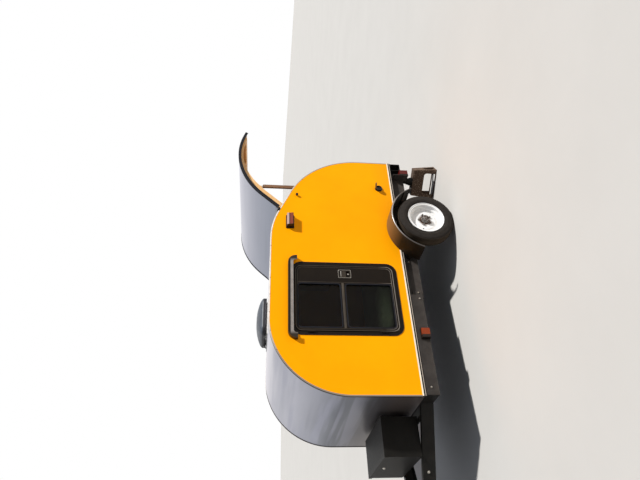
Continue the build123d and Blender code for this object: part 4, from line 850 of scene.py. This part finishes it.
# %% [markdown]
# The vent's lid is a smoked dome, vacuum-formed from one sheet: a rounded square with a short
# straight rim and a crown that flattens towards the top. A square is rounded at its corners, then
# pushed up step by step and drawn in at each step. Solidify gives the sheet its 3 mm.

# %% Roof vent dome
dome_half, dome_low = 0.185, 1.670
dome_x = -0.0835
crown = [(1.0, 0.028), (0.97, 0.038), (0.91, 0.048), (0.82, 0.058), (0.70, 0.068), (0.56, 0.077),
         (0.40, 0.084), (0.22, 0.089)]
shape = bmesh.new()
made = bmesh.ops.create_grid(shape, x_segments=1, y_segments=1, size=dome_half)
bevelled(shape, made["verts"], 0.06, 8, "VERTICES")
top = shape.faces[:]
share_now, rise_now = 1.0, 0.0
for share, rise in crown:
    grown = bmesh.ops.extrude_face_region(shape, geom=top)
    bmesh.ops.delete(shape, geom=[f for f in top if f.is_valid], context="FACES_ONLY")
    fresh = new_verts(grown)
    bmesh.ops.translate(shape, vec=(0, 0, rise - rise_now), verts=fresh)
    bmesh.ops.scale(shape, vec=(share / share_now, share / share_now, 1), verts=fresh)
    top = [f for f in shape.faces if all(v in fresh for v in f.verts)]
    share_now, rise_now = share, rise
shape.transform(Matrix.Translation((dome_x, 0, dome_low)))
vent_dome = kept(shape, "vent_dome", "roof_vent_lid", smoked_dome)
walls = vent_dome.modifiers.new("sheet", "SOLIDIFY")
walls.thickness = 0.003
walls.offset = -1.0
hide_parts("vent_lid")

# %% Vent straps and screws
vent_low, vent_high = (Vector(c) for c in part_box("vent_base"))
shape = bmesh.new()
for y in (-0.1, 0.1):
    add_bar(shape, (dome_x + dome_half - 0.004, y - 0.018, dome_low + 0.012),
            (vent_high.x - 0.004, y + 0.018, dome_low + 0.016), 0.0015)
kept(shape, "vent_hinge_straps", "roof_vent_lid", zinc)
shape = bmesh.new()
curb_middle, curb_half, curb_top = (vent_low.x + vent_high.x) / 2, 0.184, 1.6615
for step in range(-2, 3):
    reach = step * 0.085
    for side in (-curb_half, curb_half):
        for x, y in ((reach, side), (side, reach)):
            add_dome(shape, (curb_middle + x, y, curb_top), (0, 0, 1), 0.004, 0.0015)
kept(shape, "vent_screws", "trailer", zinc)

# %% [markdown]
# The hatch's ribs are sawn from board and thin out towards the hatch's free edge, where the solid
# keeps one depth. The copy of the solid is merged first, and then every vertex that lies inside an
# arc whose centre is moved down and aft of the tail's own is pushed out onto that arc. That is the
# cut which the saw made. The cross spars between the ribs follow the same arc.

# %% Ribs and spars of the hatch
hinge_place = Vector((-0.93584, 0, 1.58242))
tail_place, tail_reach = Vector((-0.8355, 0, 0.7940)), 0.748
open_turn = Matrix.Rotation(radians(71), 3, "Y")
saw_place = tail_place + Vector((-0.0546, 0, -0.0315))
saw_reach = 0.680


def copied(name):
    """A merged copy of a CAD node, in its real place."""
    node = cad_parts[name]
    shape = bmesh.new()
    shape.from_mesh(node.data)
    shape.transform(node.matrix_world)
    bmesh.ops.remove_doubles(shape, verts=shape.verts[:], dist=1e-5)
    return shape


for name in ("hatch_frame", "hatch_spars"):
    shape = copied(name)
    moved = 0
    for vertex in shape.verts:
        closed = hinge_place + open_turn.inverted() @ (vertex.co - hinge_place)
        closed.y = 0.0
        behind = closed - tail_place
        if -behind.x < abs(behind.z) * 0.70 or behind.z < -0.3:
            continue
        out = closed - saw_place
        if out.length < saw_reach:
            out *= (saw_reach - out.length) / out.length
            vertex.co += open_turn @ out
            moved += 1
    ribs = kept(shape, name + "_sawn", "hatch", pale_wood, smooth=False)
    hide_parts(name)
    print(moved, "vertices pushed out to the saw's arc")

# %% [markdown]
# The trim's face on the wall is narrow, about 7 mm, and its flange laps over the sheet. On a merged
# copy of the solid, the face's inner edge is moved outwards. Which way is outwards depends on the
# place: square to the straight stretches, and away from the middle of each arc.

# %% Narrow edge trims
front_place, front_reach = Vector((0.2095, 0, 1.009)), 0.645
shoulder_place, shoulder_reach = Vector((-0.5855, 0, 0.886)), 0.768
roof_height, front_end, rear_end = 1.654, 0.8545, -1.5835
slope_out = Vector((-sin(radians(24.5)), 0, cos(radians(24.5))))


def inside_edge(place):
    """How far a place lies inside the body's outline, and the way out."""
    if place.x > front_place.x and place.z > front_place.z + 1e-4:
        out = place - front_place
        return front_reach - out.length, out.normalized()
    if place.x > 0 and place.z <= front_place.z + 1e-4:
        return front_end - place.x, Vector((1, 0, 0))
    if place.x > shoulder_place.x:
        return roof_height - place.z, Vector((0, 0, 1))
    out = place - shoulder_place
    if out.z > 0 and -out.x < out.z * 0.4557:
        return shoulder_reach - out.length, out.normalized()
    out = place - tail_place
    if out.z > 0 and -out.x >= out.z * 0.4557:
        return tail_reach - out.length, out.normalized()
    if out.z > 0:
        return tail_reach - out.dot(slope_out), slope_out
    return place.x - rear_end, Vector((-1, 0, 0))


# %% The trim and its screws
shape = copied("edge_trims")
for vertex in shape.verts:
    if abs(vertex.co.y) > 0.6695:
        depth, out = inside_edge(Vector((vertex.co.x, 0, vertex.co.z)))
        if depth > 0.014:
            vertex.co += out * 0.0135
edge_trim = kept(shape, "edge_trims_narrow", "trailer", drawn_trim)
# rusty screws along the roof's part of the trim, hit from above while the solid is still there
shape = bmesh.new()
for step in range(13):
    x = 0.66 - 0.165 * step
    spot, out = touch("edge_trims", (x, 0.6712, 2.0), (0, 0, -1))
    inward = Vector((out.x, 0, out.z)).normalized() * 0.0075
    add_dome(shape, (spot.x - inward.x, 0.6718, spot.z - inward.z), (0, 1, 0), 0.0035, 0.0015)
mirrored(shape)
trim_screw = surface("steel_screw_rusty", "#5A4634", "#3E3024", 8, 0.5, 2, 0.02, Metallic=0.4)
kept(shape, "trim_screws", "trailer", trim_screw)
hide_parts("edge_trims")

# %% [markdown]
# The axle stands are pressed from sheet: a tapered box on four legs with an arch cut in each side,
# a bar round the feet and a round post that carries the rail. The photograph shows four legs, where
# the plain solid has three, so these replace it. Each side is a flat outline with its arch's
# corners rounded and then given the sheet's thickness, leaning in like the real one.

# %% Axle stands
stand_place, stand_turn = Vector((-1.422, 0.590, 0.0)), radians(31)
stand_long, stand_deep, stand_high, stand_taper = 0.300, 0.130, 0.228, 0.036
arch_high, sheet_thick, rail_under = 0.120, 0.003, 0.327
shape = bmesh.new()
stand_between = stand_deep - sheet_thick
long_side, short_side = (stand_long, stand_deep, 0.043), (stand_between, stand_long, 0.034)
for turn, (length, depth, leg) in enumerate((long_side, short_side) * 2):
    half, top_half = length / 2, (length - stand_taper) / 2
    outline = [(-half, 0), (-half + leg, 0), (-half + leg, arch_high), (half - leg, arch_high),
               (half - leg, 0), (half, 0), (top_half, stand_high), (-top_half, stand_high)]
    before = set(shape.verts)
    panel = shape.faces.new([shape.verts.new((s, 0, h)) for s, h in outline])
    arch = [v for v in panel.verts if abs(v.co.z - arch_high) < 1e-6]
    bevelled(shape, arch, 0.026, 6, "VERTICES")
    fresh = [v for v in shape.verts if v not in before]
    panel = [f for f in shape.faces if set(f.verts) <= set(fresh)]
    grown = bmesh.ops.extrude_face_region(shape, geom=panel)
    bmesh.ops.translate(shape, vec=(0, sheet_thick, 0), verts=new_verts(grown))
    fresh = [v for v in shape.verts if v not in before]
    for vertex in fresh:
        vertex.co.y += -depth / 2 + stand_taper / 2 * vertex.co.z / stand_high
    rotated(shape, fresh, radians(90 * turn), "Z")
top_long, top_deep = (stand_long - stand_taper) / 2, (stand_deep - stand_taper) / 2
add_bar(shape, (-top_long, -top_deep, stand_high - 0.003), (top_long, top_deep, stand_high + 0.001),
        0.001, 1)
half_long, half_deep = stand_long / 2, stand_deep / 2
for side in (-1, 1):
    edge_y, edge_x = side * (half_deep - 0.004), side * (half_long - 0.004)
    add_bar(shape, (-half_long, edge_y - 0.005, 0.0), (half_long, edge_y + 0.005, 0.010), 0.002)
    add_bar(shape, (edge_x - 0.005, -half_deep, 0.0), (edge_x + 0.005, half_deep, 0.010), 0.002)
rotated(shape, shape.verts[:], stand_turn + pi / 2, "Z")
add_disc(shape, (0, 0, stand_high - 0.07), (0, 0, 1), 0.024, rail_under - 0.006 - stand_high + 0.07,
         sides=28)
add_disc(shape, (0, 0, stand_high), (0, 0, 1), 0.046, 0.060, 0.029, sides=28)
add_bar(shape, (-0.045, -0.026, rail_under - 0.008), (0.045, 0.026, rail_under - 0.0005), 0.002)
shape.transform(Matrix.Translation(stand_place))
mirrored(shape)
stands = kept(shape, "axle_stands_pressed", "trailer", rusty_steel)
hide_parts("axle_stands")

# %% [markdown]
# Bolts hold the rails: a bright one near each front rail's end, where a plate closes it, and three
# about the joint plate. More sit where such frames have them: two along each rear rail, two on
# each side of the tongue and the clamps of the leaf springs. Hexagon heads on washers, bright
# zinc-plated, are enough at this size.

# %% Bolts and end plates on the frame
rails_meet = -0.0185
shape = bmesh.new()
add_bar(shape, (0.808, 0.6695, 0.3535), (0.8475, 0.6735, 0.4525), 0.0012)
mirrored(shape)
kept(shape, "rail_end_plates", "trailer", chassis_paint)
shape = bmesh.new()
for x, z, across in ((0.786, 0.412, 0.012), (0.012, 0.385, 0.012), (-0.030, 0.387, 0.018),
                     (-0.072, 0.372, 0.012), (-0.40, 0.41, 0.015), (-1.065, 0.41, 0.015)):
    spot, _ = touch("rear_rails" if x < rails_meet else "front_rails", (x, 1.2, z), (0, -1, 0))
    add_bolt(shape, spot, outwards, across)
for x in (1.30, 1.60):
    spot, out = touch("tongue_frame", (x, 0.7, 0.41), (0, -1, 0))
    add_bolt(shape, spot, out, 0.017)
mirrored(shape)
kept(shape, "frame_bolts", "trailer", bright_metal)
shape = bmesh.new()
for x in (wheel_middle.x - 0.032, wheel_middle.x + 0.032):
    for y in (0.571, 0.629):
        add_disc(shape, (x, y, 0.232), (0, 0, 1), 0.005, 0.102, sides=10)
        add_bolt(shape, (x, y, 0.322), (0, 0, 1), 0.015)
    add_bar(shape, (x - 0.005, 0.566, 0.226), (x + 0.005, 0.634, 0.235), 0.002)
mirrored(shape)
kept(shape, "spring_clamp_bolts", "trailer", running_gear)

# %% [markdown]
# The doors gain what breaks up their black: two bronze beads round the leaf, a thin one beside the
# panes and a sash rail between them, rubber gaskets round both panes, a rubber seal on the frame
# and the latch's bright rim, paddle and key cylinder. A bead could be swept along a curve, but all
# of these are rounded rectangles, so one ring shape serves for them all. What sits on a leaf rides
# on it.

# %% Door beads, gaskets and latch
leaf_face, gasket_back, latch_face = 0.6755, 0.6650, 0.6795
pane_wide = (-0.1185, 0.3035)
for side_name, sign in sides:
    beads, gaskets, latch = bmesh.new(), bmesh.new(), bmesh.new()
    add_ring(beads, (-0.2935, 0.3275), (0.592, 1.438), 0.053, 0.004, (leaf_face, 0.6785))
    add_ring(beads, (-0.276, 0.310), (0.6095, 1.4205), 0.040, 0.0025, (leaf_face, 0.6775))
    add_bar(beads, (-0.120, 0.6745, 1.0270), (0.305, 0.6800, 1.0465), 0.0025)
    add_bar(beads, (-0.1285, 0.6750, 0.612), (-0.1255, 0.6775, 1.418), 0.001)
    for pane_high in ((0.612, 1.020), (1.053, 1.423)):
        add_ring(gaskets, pane_wide, pane_high, 0.032, 0.010, (gasket_back, 0.6785))
    add_ring(latch, (-0.2515, -0.1695), (0.959, 1.071), 0.010, 0.003, (latch_face, 0.6818))
    add_bar(latch, (-0.2385, 0.6775, 1.0430), (-0.1825, 0.6825, 1.0505), 0.0015)
    add_disc(latch, (-0.2105, 0.6665, 0.984), outwards, 0.0085, 0.010, 0.0078)
    for x, z in ((-0.2455, 1.0655), (-0.1755, 0.9645)):
        add_dome(latch, (x, 0.6800, z), outwards, 0.0035, 0.002)
    for shape, name, material, slot in (
            (beads, "door_beads_", bronze_bead, "black_door_frame"),
            (gaskets, "pane_gaskets_", old_rubber, "black_rubber"),
            (latch, "latch_trim_", bright_metal, "latch_metal")):
        shape.transform(Matrix.Diagonal((1, sign, 1, 1)))
        kept(shape, name + side_name, "door_" + side_name, material)
shape = bmesh.new()
add_ring(shape, (-0.3305, 0.3645), (0.555, 1.475), 0.090, 0.005, (0.6725, 0.6755))
mirrored(shape)
kept(shape, "door_frame_seals", "trailer", old_rubber)

# %% [markdown]
# Lamps and small fittings: two dark ribs cross each side lamp's lens, a dark rim goes round each
# side marker, screws hold the housings, a black cap closes each end of the hatch's hinge, and a
# keyed lock holds the tongue box's lid. A cap lies along the roof's slope, so it is made level and
# then turned about the hinge's line.

# %% Lamp ribs, hinge caps and lock
lamp_rear, lamp_front = -0.8385, -0.7065
shape = bmesh.new()
add_bar(shape, (lamp_rear, 0.700, 1.4865), (lamp_front, 0.7285, 1.4905), 0.0015)
add_bar(shape, (lamp_rear, 0.700, 1.4520), (lamp_front, 0.7305, 1.4560), 0.0015)
for x in (lamp_rear - 0.004, lamp_front + 0.004):
    add_dome(shape, (x, 0.678, 1.481), outwards, 0.003, 0.002)
add_ring(shape, (0.3005, 0.3885), (0.353, 0.427), 0.006, 0.005, (0.6815, 0.6850))
mirrored(shape)
kept(shape, "lamp_ribs_and_screws", "trailer", lamp_plastic)
shape = bmesh.new()
add_bar(shape, (-0.9390, 0.6490, 1.5675), (-0.9050, 0.6760, 1.5885), 0.004)
bmesh.ops.rotate(shape, verts=shape.verts[:], cent=hinge_place,
                 matrix=Matrix.Rotation(radians(-24.5), 3, "Y"))
mirrored(shape)
kept(shape, "hinge_end_caps", "trailer", lamp_plastic)
shape = bmesh.new()
add_disc(shape, (1.2042, 0, 0.690), (1, 0, 0), 0.014, 0.005, 0.0125)
add_disc(shape, (1.2090, 0, 0.690), (1, 0, 0), 0.009, 0.003, 0.0085)
kept(shape, "box_lock", "trailer", bright_metal)

# %% [markdown]
# The mattress and the folded quilt are soft: their sides swell between the corners and their tops
# are crowned. Cloth simulation gives that for little work: a merged copy of the solid, a little
# smaller, is remeshed evenly, blown up like a balloon without gravity, and held from moving too
# far, so it stays in its own room. Voxels are coarse on the mattress because it is two metres long.
# The quilt's sewn channels come last, as shallow valleys across its top.


# %% Swelling a pad
pad_pressure, cloth_frames = 4.0, 20


def swollen(name, node_name, material, voxel, shrink, most):
    """A soft copy of a CAD pad, blown up by cloth simulation within a limit."""
    low, high = (Vector(c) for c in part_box(node_name))
    middle, size = (low + high) / 2, high - low
    shape = copied(node_name)
    shape.transform(Matrix.Translation(-middle))
    shape.transform(Matrix.Diagonal((*[(s - 2 * shrink) / s for s in size], 1)))
    shape.transform(Matrix.Translation(middle))
    pad = kept(shape, name, "trailer", material)
    even = pad.modifiers.new("even", "REMESH")
    even.mode = "VOXEL"
    even.voxel_size = voxel
    graph = bpy.context.evaluated_depsgraph_get()
    pad.data = bpy.data.meshes.new_from_object(pad.evaluated_get(graph))
    pad.modifiers.clear()
    start = [v.co.copy() for v in pad.data.vertices]
    cloth_step = pad.modifiers.new("blown", "CLOTH")
    cloth_step.settings.use_pressure = True
    cloth_step.settings.uniform_pressure_force = pad_pressure
    cloth_step.settings.quality = 4
    cloth_step.settings.effector_weights.gravity = 0.0
    cloth_step.point_cache.frame_start, cloth_step.point_cache.frame_end = 1, cloth_frames
    for step in range(1, cloth_frames + 1):
        bpy.context.scene.frame_set(step)
    graph = bpy.context.evaluated_depsgraph_get()
    blown = bpy.data.meshes.new_from_object(pad.evaluated_get(graph))
    pad.modifiers.clear()
    for vertex, end, first in zip(pad.data.vertices, blown.vertices, start):
        move = end.co - first
        if move.length > most:
            move *= most / move.length
        vertex.co = first + move
        vertex.co.z = max(vertex.co.z, low.z)
    bpy.context.scene.frame_set(1)
    for face in pad.data.polygons:
        face.use_smooth = True
    if not pad.data.materials:
        pad.data.materials.append(material)
    finer = pad.modifiers.new("finer", "SUBSURF")
    finer.levels = finer.render_levels = 1
    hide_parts(node_name)
    print(name, len(pad.data.polygons), "faces before the finer step")
    return pad


# %% Mattress and quilt
swollen("mattress_soft", "mattress", mattress_cover, 0.020, 0.009, 0.010)
quilt = swollen("quilt_soft", "quilt", quilt_cover, 0.009, 0.008, 0.010)
channel_apart, channel_deep, channel_half, top_from = 0.085, 0.005, 0.012, 0.63
for vertex in quilt.data.vertices:
    if vertex.co.z > top_from:
        away = abs((vertex.co.x / channel_apart) % 1.0 - 0.5) * channel_apart
        vertex.co.z -= channel_deep * max(0.0, 1 - away / channel_half)

# %% [markdown]
# The floor is a plain pale plane that keeps the trailer's shadow, and the world is white. Only
# camera, mirror and glass rays see it fully white; the light that it gives is weaker, so the sun
# lamp can model the shapes. The sun stands behind the trailer's left side, as its shadow in the
# photograph shows.

# %% Floor
floor_shape = bmesh.new()
bmesh.ops.create_grid(floor_shape, x_segments=1, y_segments=1, size=40.0)
floor_mesh = bpy.data.meshes.new("floor")
floor_shape.to_mesh(floor_mesh)
floor_shape.free()
floor = bpy.data.objects.new("floor", floor_mesh)
bpy.context.collection.objects.link(floor)
floor_mesh.materials.append(surface("studio_floor_matt_painted", "#CFCBC4", "#CCC8C1", 900, 0.9,
                                    6, 0.02))

# %% World and sun
sky_strength, sky_tint = 0.22, "#DCE8FF"
sun_strength, sun_width = 4.6, 2.5
world = bpy.data.worlds.new("sky")
bpy.context.scene.world = world
world.use_nodes = True
world.node_tree.nodes.clear()
path = add(world, "LightPath")
seen = path.outputs["Is Camera Ray"]
for ray in ("Is Glossy Ray", "Is Transmission Ray"):
    seen = add(world, "Math", {"operation": "MAXIMUM"}, {0: seen, 1: path.outputs[ray]}).outputs[0]
soft = add(world, "Background", {"Color": linear(sky_tint), "Strength": sky_strength})
white = add(world, "Background", {"Color": (1, 1, 1, 1), "Strength": 1.0})
chosen = add(world, "MixShader", None, {0: seen, 1: soft.outputs[0], 2: white.outputs[0]})
add(world, "OutputWorld", None, {"Surface": chosen.outputs[0]})

sun_towards = Vector((-0.49, 0.52, 0.70))
sun_data = bpy.data.lights.new("sun", "SUN")
sun_data.energy = sun_strength
sun_data.angle = radians(sun_width)
sun = bpy.data.objects.new("sun", sun_data)
sun.rotation_euler = sun_towards.to_track_quat("Z", "Y").to_euler()
bpy.context.collection.objects.link(sun)
print("sun from", [round(v, 2) for v in sun_towards])
